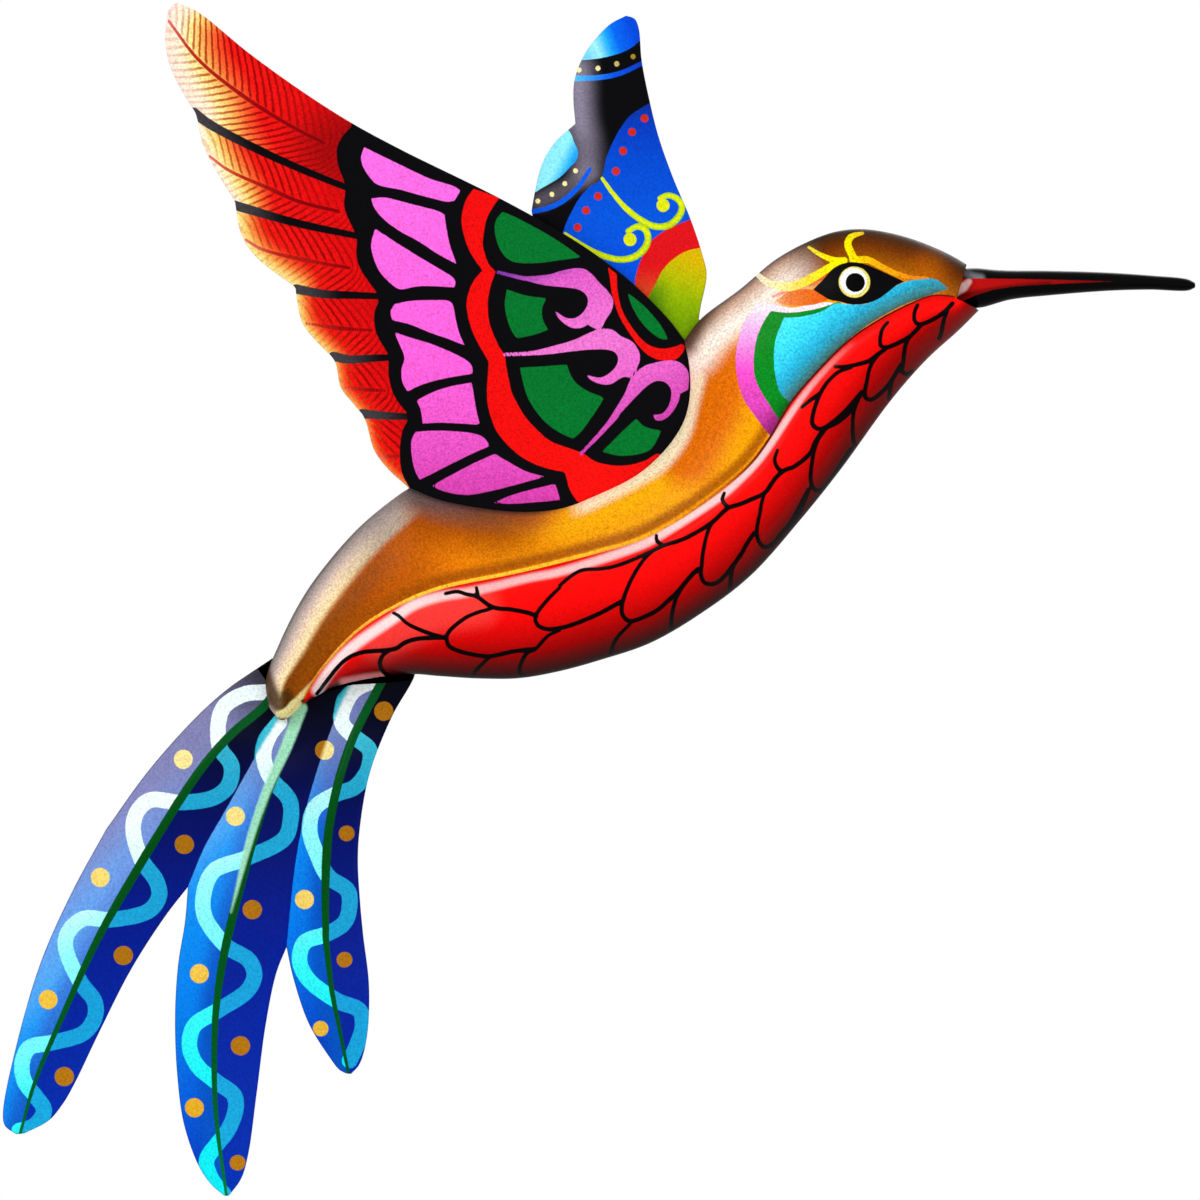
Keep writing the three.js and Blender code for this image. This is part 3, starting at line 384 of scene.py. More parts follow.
ALMOND = (
    (53, 77.25), (55.5, 79.75), (58, 82.5), (61.25, 84), (65, 83.88), (68.75, 82.5), (72.5, 80.75),
    (75.75, 79.25), (73.75, 78.25), (71.25, 76.25), (69.5, 75), (66.25, 73.75), (62.5, 73.5),
    (59.5, 74.25), (57, 74.75), (55, 76),
)
HORNS = (
    ((65.5, 91.5), (62.5, 90.5), (61.75, 88.5), (62.75, 86), (63.25, 84.5)),
    ((52, 88), (55, 86), (58.75, 84.5), (60.75, 84.5)),
    ((39.5, 81), (42, 79), (46.25, 78), (50, 78.75), (53.75, 80.75), (57.5, 83), (60.75, 84.5)),
    ((63.25, 84.5), (66.5, 84.75), (70, 83), (73.75, 81.25), (77.5, 80.25), (81.5, 80.25)),
)
CHEEK = (
    (45.75, 70.25), (50, 70.5), (55, 71.75), (58.75, 73.75), (62.5, 73.5), (66.25, 73.75), (70, 75.5),
    (73.25, 78), (76.25, 79.25), (81.25, 80), (83.75, 79.75), (86.75, 77.5), (82.5, 76), (76.25, 73.75),
    (70, 70.5), (65, 67.25), (60, 63.25), (55, 58.25), (51.25, 53.75), (48.75, 50), (47, 49.25),
    (45, 51.25), (43.75, 55), (43.25, 60), (43.75, 65),
)
GREEN_CHEEK = (
    (42.5, 72), (40.5, 68.75), (39, 65), (38.25, 60), (38.5, 55.5), (40, 52), (42, 48.75), (44.5, 45),
    (47, 43), (60, 56), (62, 72), (59.5, 74.25), (55, 72.75), (50, 71.75), (46.25, 71.5),
)
PINK_CHEEK = (
    (39.5, 74.25), (36.25, 70), (34.5, 65), (33.75, 60), (34.25, 55), (35.75, 50), (38.75, 45.5),
    (42, 41.25), (44.5, 38), (60, 56), (61, 72), (57.5, 74), (47.5, 72.75), (43.75, 73.5),
)
EAR = (
    (43.5, 74.5), (47.5, 76.9), (51.25, 77.4), (54, 76.9), (57, 74.9), (53.75, 73.6), (50, 73.3),
    (46.25, 73.4),
)
SCALE_ROWS = (
    ((-70.6, -23.4), (-64.3, -15.7), (-61.9, -14), (-59, -13), (-50.9, -12.1), (-48.5, -10.6),
     (-45.6, -9.7), (-38.6, -9.3)),
    ((-38.4, 1.6), (-35.5, 2.1), (-33.1, 1.4), (-30.7, 0.9), (-27.3, -1.5), (-25.4, -2.1), (-22.5, -2.3),
     (-17.2, -3.4), (-15.8, -4.1)),
    ((-10, 3.6), (-7.1, 6), (-4.5, 7.4), (-0.4, 7.7), (2.5, 8.1), (5.9, 9.1), (12.6, 12), (15.9, 13.6),
     (19.3, 14.6), (22.7, 16.1), (28, 19.4), (31.8, 22.8), (34.7, 23.8), (38.1, 25.2), (40.9, 26.6),
     (43.8, 30.5), (46.2, 32.4), (48.2, 33.1), (52.5, 36.8), (53.4, 39.1), (55.9, 42.5), (58.8, 44),
     (62.1, 46.8), (65.2, 51.8)),
)
SCALE_HOOKS = (
    ((-51.3, -3.2), (-49.8, -4.1), (-48, -5.8), (-42.7, -8.2), (-38.8, -9.4)),
    ((-30.7, 3.1), (-30.4, 1.2)),
    ((14, 16.1), (14.2, 14.6), (15.5, 13.7)),
    ((30.9, 26.6), (30.4, 24.8), (31.8, 23)),
    ((44.1, 37.2), (43.4, 34.8), (44.1, 32.9), (45.2, 31.9)),
    ((50.2, 47.9), (52.2, 49.6), (54.2, 51)),
)
SCALE_ARCS = (
    ((-27.3, -2.2), (-30.7, -3.2), (-34, -4.8), (-37.9, -8.4), (-38.1, -9.9), (-37.4, -11.6),
     (-28.2, -14), (-21.6, -12.8), (-16.2, -12.2)),
    ((-50.9, -12.1), (-52.8, -12.8), (-54.2, -14), (-54.8, -15.9), (-54.2, -17.6), (-52.8, -18.8),
     (-51.8, -19.2)),
    ((-10, 3.1), (-12.9, 0.2), (-16, -4.1), (-15.8, -5.8), (-14.3, -7), (-10, -7), (-1.3, -3.9),
     (5.6, -0.2)),
    ((13.1, 12.2), (10.7, 9.8), (7.3, 4.1), (5.4, -1.8), (5.6, -3.7), (6.8, -5.1), (7.8, -5.3),
     (14, -2.7), (16.9, -0.2), (19.3, 2.1), (23.2, 6.7), (24.4, 7.7)),
    ((28, 19.4), (26.8, 17), (25.6, 11.8), (25.3, 8.8), (25.1, 6.4), (25.8, 4.5), (27.2, 3.9),
     (29.4, 4.5), (34.7, 10.8), (36.6, 14.1), (38.3, 16.6)),
    ((40.9, 26.6), (40.2, 24.2), (39.8, 21.8), (39, 17), (39.5, 14.6), (40.9, 13.2), (42.9, 13.9),
     (45.2, 16.6), (47.2, 18.9), (52, 27.6)),
    ((55.9, 42.2), (53.9, 39.1), (52.5, 32.4), (52.6, 29), (53.4, 27.6), (54.9, 27.3), (62.6, 37.7)),
    ((62.4, 57.8), (59, 56.5), (55.2, 52.2), (52.7, 44.5), (53.2, 43.1), (54.7, 42.5), (56.6, 43.3),
     (60.9, 46.9), (65.2, 51.8)),
)
THROAT_SCALES = (
    ((58.5, 58), (60.9, 58), (66.8, 59.4), (69.1, 61.1), (71.1, 62.5)),
    ((71.5, 69), (70.1, 67.1), (69.8, 63.2), (71.1, 62.8), (75.9, 64.8), (77.8, 66.2), (79.7, 68.3)),
    ((71.1, 62.5), (68.7, 60.4), (67.2, 58), (66.5, 55.1), (66, 50.5), (67.2, 49.8), (71.1, 52.7),
     (74.9, 58.5)),
    ((79, 73.4), (78.2, 71.5), (78.2, 69.5), (79.2, 68.5), (83.6, 70.2), (85.9, 71.9), (87.7, 73.8)),
    ((79.7, 68.3), (76.3, 64.2), (75.4, 58.5), (75.2, 57), (76.3, 56.3), (77.8, 57)),
    ((86.4, 71.9), (85.5, 69.5), (85, 66.6), (84.5, 65.2)),
)
BELLY_SCALES = (
    ((-27.3, -14), (-30.7, -17.3), (-32.1, -19.2)),
    ((-10, -7.5), (-12.9, -8.9), (-16.2, -12.3), (-18.2, -13.2), (-20.1, -17.6), (-19.4, -18.8),
     (-18.2, -19.2)),
    ((7.8, -5.6), (3.9, -9.9), (2.2, -14.5)),
    ((24.6, 7.4), (23.2, 6.4), (19.3, 1.2), (17.9, -3.7), (17.7, -7)),
    ((38.3, 16.6), (36.2, 13.2), (33.2, 8.4), (32.3, 3.1)),
    ((52, 27.1), (50.6, 23.8), (47.7, 18)),
    ((65.2, 51.8), (63.1, 46.5), (63.1, 40), (63.5, 38.8)),
    ((74.9, 58.5), (73.4, 56), (72.5, 53.7), (72, 50.3)),
)
# Middle lines of the painted highlights on the breast and along the saddle
BREAST_LIGHT = (
    (-70.5, -22.5), (-67.5, -18), (-62.5, -12.5), (-51.2, -4.5), (-46.2, -1.2), (-40, 0.8), (-32.5, 2),
    (-17.5, 5.5), (-10, 7), (10, 13.6), (15, 16.2), (30, 25.8), (34, 29.2), (39.8, 35.2), (51.5, 52),
    (61, 62.2), (66.5, 66.2), (71.2, 69),
)
SADDLE_LIGHT = (
    (-9, 22.2), (-4, 24.2), (2, 27), (10, 31.2), (15, 34.5), (20, 41.2), (22.5, 50), (23.8, 55),
)


class Border(Enum):
    """How sharply a layer of paint ends, as the width in millimetres over which it fades."""

    BRUSHED = 0.22
    SPRAYED = 0.8


class Face(Enum):
    """Material slots of a painted sheet."""

    FRONT = 0
    REAR = 1


def linear(code: str) -> Array:
    """Turn an sRGB colour into the linear values that a shader works in.

    Args:
        code: six hex digits after a hash.

    Returns:
        Red, green and blue between 0 and 1.
    """
    levels = np.array([int(code[k:k + 2], 16) / 255 for k in (1, 3, 5)])
    return np.where(levels <= 0.04045, levels / 12.92, ((levels + 0.055) / 1.055) ** 2.4)


def ramp(values: Array, stops: Sequence[tuple[float, str]]) -> Array:
    """Blend colours along a scale, evenly to the eye: as square roots of their linear values.

    Args:
        values: the place of each point on the scale.
        stops: places on the scale in rising order, with their colours.

    Returns:
        Linear colours, one row a point.
    """
    places = [place for place, _ in stops]
    roots = np.sqrt(np.array([linear(code) for _, code in stops]))
    return np.stack([np.interp(values, places, roots[:, k]) for k in range(3)], axis=-1) ** 2


def over(under: Array, share: Array, tint: Array | str) -> Array:
    """Spray linear colours, or one hex colour, over others: share 0 leaves them, share 1 covers them."""
    spray = linear(tint) if isinstance(tint, str) else tint
    return under + np.clip(share, 0, 1)[:, None] * (spray - under)


def rise(values: Array, low: float, high: float) -> Array:
    """Go smoothly from 0 at low to 1 at high, and the other way round where high is below low."""
    share = np.clip((np.asarray(values) - low) / (high - low), 0, 1)
    return share * share * (3 - 2 * share)


def shares_of(line: Array) -> Array:
    """Share of the length of a line that lies before each of its points."""
    sums = np.concatenate(([0.0], np.cumsum(np.linalg.norm(np.diff(line, axis=0), axis=1))))
    return sums / sums[-1]


def at_shares(line: Array, shares: Array) -> Array:
    """Points of a line at the given shares of its length."""
    stops = shares_of(line)
    return np.stack([np.interp(shares, stops, line[:, k]) for k in range(line.shape[1])], axis=-1)


def smooth(points: Points, step: float = LINE_STEP) -> Array:
    """Draw a centripetal Catmull-Rom curve through the points, as the CAD outlines are drawn.

    Each stretch is a cubic between two knots. Its slopes weigh the chords on both sides by the square
    root of their lengths, and a ghost knot mirrors the first and the last chord.

    Args:
        points: knots in millimetres.
        step: spacing of the points returned.

    Returns:
        Evenly spaced points from the first knot to the last.
    """
    knots = np.asarray(points, dtype=float)
    ghosts = np.vstack((2 * knots[0] - knots[1], knots, 2 * knots[-1] - knots[-2]))
    pace = np.sqrt(np.linalg.norm(np.diff(ghosts, axis=0), axis=1))[:, None]
    before, here, after = pace[:-2], pace[1:-1], pace[2:]
    p0, p1, p2, p3 = ghosts[:-3], ghosts[1:-2], ghosts[2:-1], ghosts[3:]
    leaving = ((p1 - p0) / before - (p2 - p0) / (before + here) + (p2 - p1) / here) * here
    arriving = ((p2 - p1) / here - (p3 - p1) / (here + after) + (p3 - p2) / after) * here
    t = np.linspace(0, 1, CURVE_SAMPLES, endpoint=False)[None, :, None]
    p1, p2, leaving, arriving = (part[:, None, :] for part in (p1, p2, leaving, arriving))
    curve = ((2 * t**3 - 3 * t**2 + 1) * p1 + (t**3 - 2 * t**2 + t) * leaving
             + (3 * t**2 - 2 * t**3) * p2 + (t**3 - t**2) * arriving)
    line = np.vstack((curve.reshape(-1, 2), knots[-1]))
    length = np.linalg.norm(np.diff(line, axis=0), axis=1).sum()
    return at_shares(line, np.linspace(0, 1, max(3, round(length / step) + 1)))


def curves(lines: Iterable[Points]) -> list[Array]:
    """Draw a smooth curve through the points of each of some lines."""
    return [smooth(line) for line in lines]


def joined(*strokes: Points, step: float = LINE_STEP) -> Array:
    """Join smooth strokes end to end, with a corner wherever two strokes meet."""
    lines = [smooth(stroke, step) for stroke in strokes]
    return np.vstack([lines[0]] + [line[1:] for line in lines[1:]])


def shapes(outlines: Iterable[Points], corner: float = 0.8) -> list[Array]:
    """Draw closed curves through the points of some outlines: smooth, but for corners at sharp turns.

    Args:
        outlines: knots of each outline.
        corner: turn in radians from which a knot is a corner.

    Returns:
        One line a shape, whose last point joins its first.
    """
    lines = []
    for outline in outlines:
        knots = np.asarray(outline)
        run = np.roll(knots, -1, axis=0) - knots
        heading = np.arctan2(run[:, 1], run[:, 0])
        turn = np.abs((heading - np.roll(heading, 1) + np.pi) % (2 * np.pi) - np.pi)
        sharp = np.flatnonzero(turn > corner)
        first = sharp[0] if len(sharp) else 0
        loop = np.roll(knots, -first, axis=0)
        ends = np.append(sharp - first, len(knots)) if len(sharp) else (0, len(knots))
        loop = np.vstack((loop, loop[:1]))
        lines.append(joined(*(loop[a:b + 1] for a, b in zip(ends[:-1], ends[1:]))))
    return lines


def beside(line: Array, offset: float, closed: bool = False) -> Array:
    """Move a line sideways, to the left of its own direction seen from the front.

    Args:
        line: points in mm.
        offset: how far, in mm.
        closed: whether its last point is joined to its first.

    Returns:
        The moved points.
    """
    steps = np.diff(np.vstack((line, line[:1])) if closed else line, axis=0)
    sides = np.stack((-steps[:, 1], steps[:, 0]), axis=-1)
    sides = sides / np.maximum(np.linalg.norm(sides, axis=1), 1e-9)[:, None]
    if closed:
        arriving, leaving = np.roll(sides, 1, axis=0), sides
    else:
        arriving, leaving = np.vstack((sides[:1], sides)), np.vstack((sides, sides[-1:]))
    total = arriving + leaving
    return line + offset * total / np.maximum((total**2).sum(axis=1) / 2, MITRE_LIMIT)[:, None]


def nearest(points: Array, line: Array) -> tuple[Array, Array]:
    """Measure points against a line.

    Args:
        points: places in millimetres.
        line: points of the line.

    Returns:
        The distance of each point, and the share of the line's length at its nearest place.
    """
    best = np.full(len(points), np.inf)
    where = np.zeros(len(points))
    stops = shares_of(line)
    for k, (start, end) in enumerate(zip(line[:-1], line[1:])):
        run = end - start
        along = np.clip((points - start) @ run / max(run @ run, 1e-12), 0, 1)
        gap = ((points - start - along[:, None] * run) ** 2).sum(axis=1)
        closer = gap < best
        best[closer] = gap[closer]
        where[closer] = (stops[k] + along * (stops[k + 1] - stops[k]))[closer]
    return np.sqrt(best), where


def inside(points: Array, outline: Array) -> Array:
    """Tell which points a closed outline holds: a ray from them crosses it an odd number of times.

    Args:
        points: places in mm.
        outline: points of the outline.

    Returns:
        True or False for each point.
    """
    held = np.zeros(len(points), dtype=bool)
    x, z = points[:, 0], points[:, 1]
    for (ax, az), (bx, bz) in zip(outline, np.roll(outline, -1, axis=0)):
        if az != bz:
            held ^= ((az > z) != (bz > z)) & (x < ax + (z - az) * (bx - ax) / (bz - az))
    return held


def left_of(start: Sequence[float], end: Sequence[float], points: Array) -> Array:
    """Distance of points to the left of a straight line, seen from the front."""
    run, away = np.subtract(end, start), points - np.asarray(start)
    return (run[0] * away[:, 1] - run[1] * away[:, 0]) / np.hypot(*run)


def near_box(points: Array, line: Array) -> Array:
    """Tell which points lie in the box round a line, grown by the field's reach."""
    low, high = line.min(axis=0) - FIELD_REACH, line.max(axis=0) + FIELD_REACH
    return np.all((points > low) & (points < high), axis=1)


def filled(points: Array, outlines: Iterable[Array]) -> Array:
    """Millimetres inside the nearest of some closed outlines, negative outside them all.

    Args:
        points: places in mm.
        outlines: points of each outline.

    Returns:
        Millimetres, up to the field's reach.
    """
    total = np.full(len(points), -FIELD_REACH)
    for outline in outlines:
        close = near_box(points, outline)
        if close.any():
            gap, _ = nearest(points[close], np.vstack((outline, outline[:1])))
            sign = np.where(inside(points[close], outline), 1.0, -1.0)
            total[close] = np.maximum(total[close], np.clip(gap, 0, FIELD_REACH) * sign)
    return total


def stroked(points: Array, lines: Iterable[Array], *widths: float) -> Array:
    """Millimetres inside the nearest of some brush strokes, whose width changes evenly along them.

    Args:
        points: places in mm.
        lines: points of each stroke's middle.
        widths: widths in mm, at even shares of each stroke.

    Returns:
        Millimetres, up to the field's reach.
    """
    total = np.full(len(points), -FIELD_REACH)
    for line in lines:
        close = near_box(points, line)
        if close.any():
            gap, share = nearest(points[close], line)
            half = np.interp(share, np.linspace(0, 1, len(widths)), widths) / 2
            total[close] = np.maximum(total[close], np.clip(half - gap, -FIELD_REACH, FIELD_REACH))
    return total


def dotted(points: Array, places: Points, radius: float) -> Array:
    """Millimetres inside the nearest of some round dots."""
    gaps = [np.hypot(points[:, 0] - x, points[:, 1] - z) for x, z in places]
    return np.clip(radius - np.min(gaps, axis=0), -FIELD_REACH, FIELD_REACH)


def haze(points: Array, knots: Points, core: float, fade: float) -> Array:
    """Strength of a sprayed curve: 1 within its core, and 0 past the width over which it fades."""
    return rise(nearest(points, smooth(knots))[0], core + fade, core)


def spot(points: Array, centre: tuple[float, float], radius: float) -> Array:
    """Strength of a sprayed round spot: 1 at its centre, 0 at its radius."""
    return rise(np.hypot(points[:, 0] - centre[0], points[:, 1] - centre[1]), radius, 0)


def stretched(edge: Array, opposite: Array, rows: int, columns: int, crowding: float = 0.4) -> Array:
    """Plane grid between two edges: row i runs straight between the points at the same share of both.

    Args:
        edge: the line that column 0 follows.
        opposite: the line that the last column follows.
        rows: steps along the edges.
        columns: steps from one edge to the other.
        crowding: how strongly they close up near both, from 0 to 1.

    Returns:
        An array of rows + 1 by columns + 1 by 2.
    """
    shares = np.linspace(0, 1, rows + 1)
    start, end = at_shares(edge, shares)[:, None], at_shares(opposite, shares)[:, None]
    even = np.linspace(0, 1, columns + 1)
    across = ((1 - crowding) * even + crowding * (1 - np.cos(np.pi * even)) / 2)[None, :, None]
    return start + across * (end - start)


def border(grid: Array) -> Array:
    """The outer points of a grid, once round."""
    return np.concatenate((grid[:, 0], grid[-1, 1:], grid[-2::-1, -1], grid[0, -2:0:-1]))


def placed(plane: Array, depth: Array | float) -> Array:
    """Turn points of the square, and their depths out of the wall, to metres in the frame."""
    x, z = plane[..., 0] - NAIL[0], plane[..., 1] - NAIL[1]
    return np.stack((x, -np.broadcast_to(depth, x.shape), z), axis=-1) / 1000


def plane_of(mesh: bpy.types.Mesh) -> Array:
    """Turn the vertices of a mesh back to points of the square.

    Args:
        mesh: a mesh in the frame.

    Returns:
        Points in mm, one row a vertex.
    """
    flat = np.empty(len(mesh.vertices) * 3)
    mesh.vertices.foreach_get("co", flat)
    return flat.reshape(-1, 3)[:, [0, 2]] * 1000 + np.asarray(NAIL)


@dataclass
class Skin:
    """Vertices, faces and material slots of a body under construction."""

    vertices: list[Array] = field(default_factory=list)
    faces: list[Array] = field(default_factory=list)
    slots: list[Array] = field(default_factory=list)

    def ring(self, points: Array) -> Array:
        """Add points without faces, and return their numbers."""
        self.vertices.append(points)
        return np.arange(-len(points), 0) + sum(len(part) for part in self.vertices)

    def quads(self, corners: Sequence[Array], slot: Face) -> None:
        """Add faces, given by the numbers of all their first, second, third and fourth corners."""
        self.faces.append(np.stack(corners, axis=-1).reshape(-1, 4))
        self.slots.append(np.full(len(self.faces[-1]), slot.value))

    def grid(self, points: Array, slot: Face) -> Array:
        """Add a grid of points: the face at row i and column j joins those at i, i + 1 and j, j + 1.

        Args:
            points: rows by columns by 3, in metres.
            slot: the faces' material.

        Returns:
            The numbers of the border's points.
        """
        ids = self.ring(points.reshape(-1, 3)).reshape(points.shape[:2])
        self.quads((ids[:-1, :-1], ids[:-1, 1:], ids[1:, 1:], ids[1:, :-1]), slot)
        return border(ids[..., None])[:, 0]

    def sheet(self, front: Array, rings: Sequence[Array], rear: Array) -> None:
        """Add a closed body: a front grid, rings round its edge, and a rear grid of the same shape.

        Args:
            front: front grid, in metres.
            rings: rings from the front to the rear.
            rear: rear grid.
        """
        loops = [self.grid(front, Face.FRONT)]
        loops += [self.ring(ring) for ring in rings]
        loops.append(self.grid(rear, Face.REAR))
        for k, (upper, lower) in enumerate(zip(loops[:-1], loops[1:])):
            around = (upper, np.roll(upper, -1), np.roll(lower, -1), lower)
            self.quads(around, Face.FRONT if 2 * k < len(rings) else Face.REAR)

    def finish(self, name: str) -> bpy.types.Object:
        """Make the mesh object, close its poles and seams, and turn its faces outwards.

        Args:
            name: the object's name.

        Returns:
            The object.
        """
        mesh = bpy.data.meshes.new(name)
        faces = np.concatenate(self.faces)
        mesh.from_pydata(np.concatenate(self.vertices), [], faces)
        mesh.polygons.foreach_set("material_index", np.concatenate(self.slots).astype(np.int32))
        work = bmesh.new()
        work.from_mesh(mesh)
        bmesh.ops.remove_doubles(work, verts=work.verts, dist=MERGE_WITHIN)
        bmesh.ops.recalc_face_normals(work, faces=work.faces)
        work.to_mesh(mesh)
        work.free()
        mesh.validate()
        mesh.polygons.foreach_set("use_smooth", np.ones(len(mesh.polygons), dtype=bool))
        shown = bpy.data.objects.new(name, mesh)
        bpy.context.scene.collection.objects.link(shown)
        return shown


@dataclass(frozen=True)
class Coat:
    """One layer of paint on a sheet.

    Attributes:
        name: what is painted.
        field: millimetres inside its border at each vertex, or for a comb, millimetres along it.
        tint: its linear colour, one for all or one at each vertex.
        edge: how sharply it ends.
        cover: how thick it lies at each vertex, from 0 to 1.
        comb: spacing in millimetres of the hairlines that a comb layer is made of, or 0 for a flat layer.
    """

    name: str
    field: Array
    tint: Array
    edge: Border = Border.BRUSHED
    cover: Array | float = 1.0
    comb: float = 0.0


def keep_number(mesh: bpy.types.Mesh, name: str, values: Array) -> None:
    """Keep one number a vertex on the mesh."""
    store = mesh.attributes.new(name, "FLOAT", "POINT")
    store.data.foreach_set("value", np.ascontiguousarray(values, dtype=np.float32))


def keep_colour(mesh: bpy.types.Mesh, name: str, tint: Array, cover: Array | float = 1.0) -> None:
    """Keep one linear colour a vertex on the mesh, with its cover as alpha.

    Args:
        mesh: the mesh.
        name: the attribute's name.
        tint: the colour, one for all or one a vertex.
        cover: the cover, one for all or one a vertex.
    """
    values = np.empty((len(mesh.vertices), 4), dtype=np.float32)
    values[:, :3], values[:, 3] = tint, cover
    mesh.attributes.new(name, "FLOAT_COLOR", "POINT").data.foreach_set("color", values.ravel())


def add(tree: Tree, kind: str, links: dict[str | int, object] | None = None,
        **settings: object) -> bpy.types.Node:
    """Add a node.

    Args:
        tree: the material's nodes.
        kind: the node's type, without its ShaderNode prefix.
        links: for each input, by name or number, an output socket to link or a value to set.
        settings: the node's own properties.

    Returns:
        The new node.
    """
    node = tree.nodes.new(f"ShaderNode{kind}")
    for name, value in settings.items():
        setattr(node, name, value)
    for name, value in (links or {}).items():
        if isinstance(value, Socket):
            tree.links.new(value, node.inputs[name])
        else:
            node.inputs[name].default_value = value
    return node


def new_material(name: str) -> tuple[Material, Tree]:
    """Make an empty material with an output node, and return it with its nodes.

    Args:
        name: the material's name.

    Returns:
        The material and its nodes.
    """
    material = bpy.data.materials.new(name)
    material.use_nodes = True
    material.node_tree.nodes.clear()
    return material, material.node_tree


def finish_nodes(tree: Tree, relief: Socket, depth: float, values: dict[str, object]) -> None:
    """End a material with its relief, of a depth in millimetres, and its shader.

    Args:
        tree: the material's nodes.
        relief: output that gives the height, from about 0 to 1.
        depth: height in mm at 1.
        values: the shader's other inputs.
    """
    bump = add(tree, "Bump", {"Height": relief, "Distance": depth / 1000, "Strength": 0.6})
    shader = add(tree, "BsdfPrincipled", {**values, "Normal": bump.outputs[0]})
    add(tree, "OutputMaterial", {"Surface": shader.outputs[0]})


@dataclass(frozen=True)
class Enamel:
    """Sprayed and brushed enamel on sheet steel, in layers.

    The airbrush leaves a fine speckle, brushed shapes stand a little proud of the ground, and the clear
    coat over them is satin with a slight orange peel.

    Attributes:
        speckle: how strongly the spray's dots vary in brightness.
        roughness: mean roughness of the clear coat.
        dot: size of the spray's dots in millimetres, as coarse as the photograph shows them.
        peel: width of the orange peel's bumps in millimetres.
        wander: length in millimetres over which the brush's border swings to and fro.
        wobble: how far it swings, in millimetres.
        comb_unrest: how much more the hairlines of a comb swing.
        hairline: height of the comb's sine wave at which a hairline is fully drawn.
        mirror: specular level: low, because the photograph's soft light draws no reflections.
        film: height of all the relief in millimetres.
    """

    speckle: float = 0.35
    roughness: float = 0.34
    dot: float = 0.55
    peel: float = 2.5
    wander: float = 1.4
    wobble: float = 0.07
    comb_unrest: float = 12.0
    hairline: float = 0.85
    mirror: float = 0.03
    film: float = 0.035

    def material(self, name: str, coats: Sequence[Coat]) -> Material:
        """Build the material that draws the ground and then each coat over it.

        Args:
            name: the material's name.
            coats: the layers from the ground up, kept on the mesh under their names.

        Returns:
            The material.
        """
        material, tree = new_material(name)
        place = add(tree, "TexCoord").outputs["Object"]
        wander = add(tree, "TexNoise", {"Vector": place, "Scale": 1000 / self.wander, "Detail": 1.0})
        wobble = add(tree, "MapRange", {"Value": wander.outputs[0], "To Min": -self.wobble,
                                        "To Max": self.wobble})
        colour = add(tree, "Attribute", attribute_name="ground").outputs["Color"]
        height: Socket | None = None
        for coat in coats:
            share = self._share(tree, coat, wobble.outputs[0])
            tint = add(tree, "Attribute", attribute_name=f"{coat.name}_tint")
            cover = add(tree, "Math", {0: share, 1: tint.outputs["Alpha"]}, operation="MULTIPLY")
            mix = add(tree, "Mix", {0: cover.outputs[0], 6: colour, 7: tint.outputs["Color"]},
                      data_type="RGBA")
            colour = mix.outputs[2]
            if coat.comb == 0:
                terms = {0: height if height is not None else 0.0, 1: cover.outputs[0]}
                height = add(tree, "Math", terms, operation="ADD").outputs[0]
        self._surface(tree, place, colour, height)
        return material

    def _share(self, tree: Tree, coat: Coat, wobble: Socket) -> Socket:
        """Return how much of a coat there is: its field turned to 0 outside and 1 inside.

        Args:
            tree: the material's nodes.
            coat: the layer.
            wobble: output of the border's swing in mm.

        Returns:
            The output.
        """
        kept = add(tree, "Attribute", attribute_name=f"{coat.name}_field").outputs["Fac"]
        if coat.comb > 0:
            turn = add(tree, "Math", {0: kept, 1: 2 * math.pi / coat.comb}, operation="MULTIPLY")
            loose = add(tree, "Math", {0: wobble, 1: self.comb_unrest, 2: turn.outputs[0]},
                        operation="MULTIPLY_ADD")
            source = add(tree, "Math", {0: loose.outputs[0]}, operation="SINE").outputs[0]
            limits = (0.0, self.hairline)
        else:
            source = add(tree, "Math", {0: kept, 1: wobble}, operation="ADD").outputs[0]
            limits = (-coat.edge.value / 2, coat.edge.value / 2)
        share = add(tree, "MapRange", {"Value": source, "From Min": limits[0], "From Max": limits[1]},
                    interpolation_type="SMOOTHSTEP")
        return share.outputs[0]

    def _surface(self, tree: Tree, place: Socket, colour: Socket, height: Socket | None) -> None:
        """Add the speckle, the paint's thickness, the orange peel and the clear coat's sheen.

        Args:
            tree: the material's nodes.
            place: output of the Object coordinates.
            colour: output of the layers' colour.
            height: output of their thickness.
        """
        dots = add(tree, "TexNoise", {"Vector": place, "Scale": 1000 / self.dot, "Detail": 2.0})
        light = add(tree, "MapRange", {"Value": dots.outputs[0], "From Min": 0.25, "From Max": 0.75,
                                       "To Min": 1 - self.speckle, "To Max": 1 + self.speckle})
        grained = add(tree, "VectorMath", {0: colour, "Scale": light.outputs[0]}, operation="SCALE")
        peel = add(tree, "TexNoise", {"Vector": place, "Scale": 1000 / self.peel, "Detail": 1.0})
        relief = add(tree, "Math", {0: peel.outputs[0], 1: 0.5}, operation="MULTIPLY")
        total = add(tree, "Math", {0: relief.outputs[0], 1: height if height is not None else 0.0},
                    operation="ADD")
        grain = add(tree, "Math", {0: dots.outputs[0], 1: 0.25, 2: total.outputs[0]},
                    operation="MULTIPLY_ADD")
        sheen = add(tree, "MapRange", {"Value": peel.outputs[0], "From Min": 0.3, "From Max": 0.7,
                                       "To Min": self.roughness - 0.05, "To Max": self.roughness + 0.06})
        finish_nodes(tree, grain.outputs[0], self.film, {
            "Base Color": grained.outputs[0], "Metallic": 0.0, "IOR": 1.5,
            "Specular IOR Level": self.mirror, "Roughness": sheen.outputs[0]})


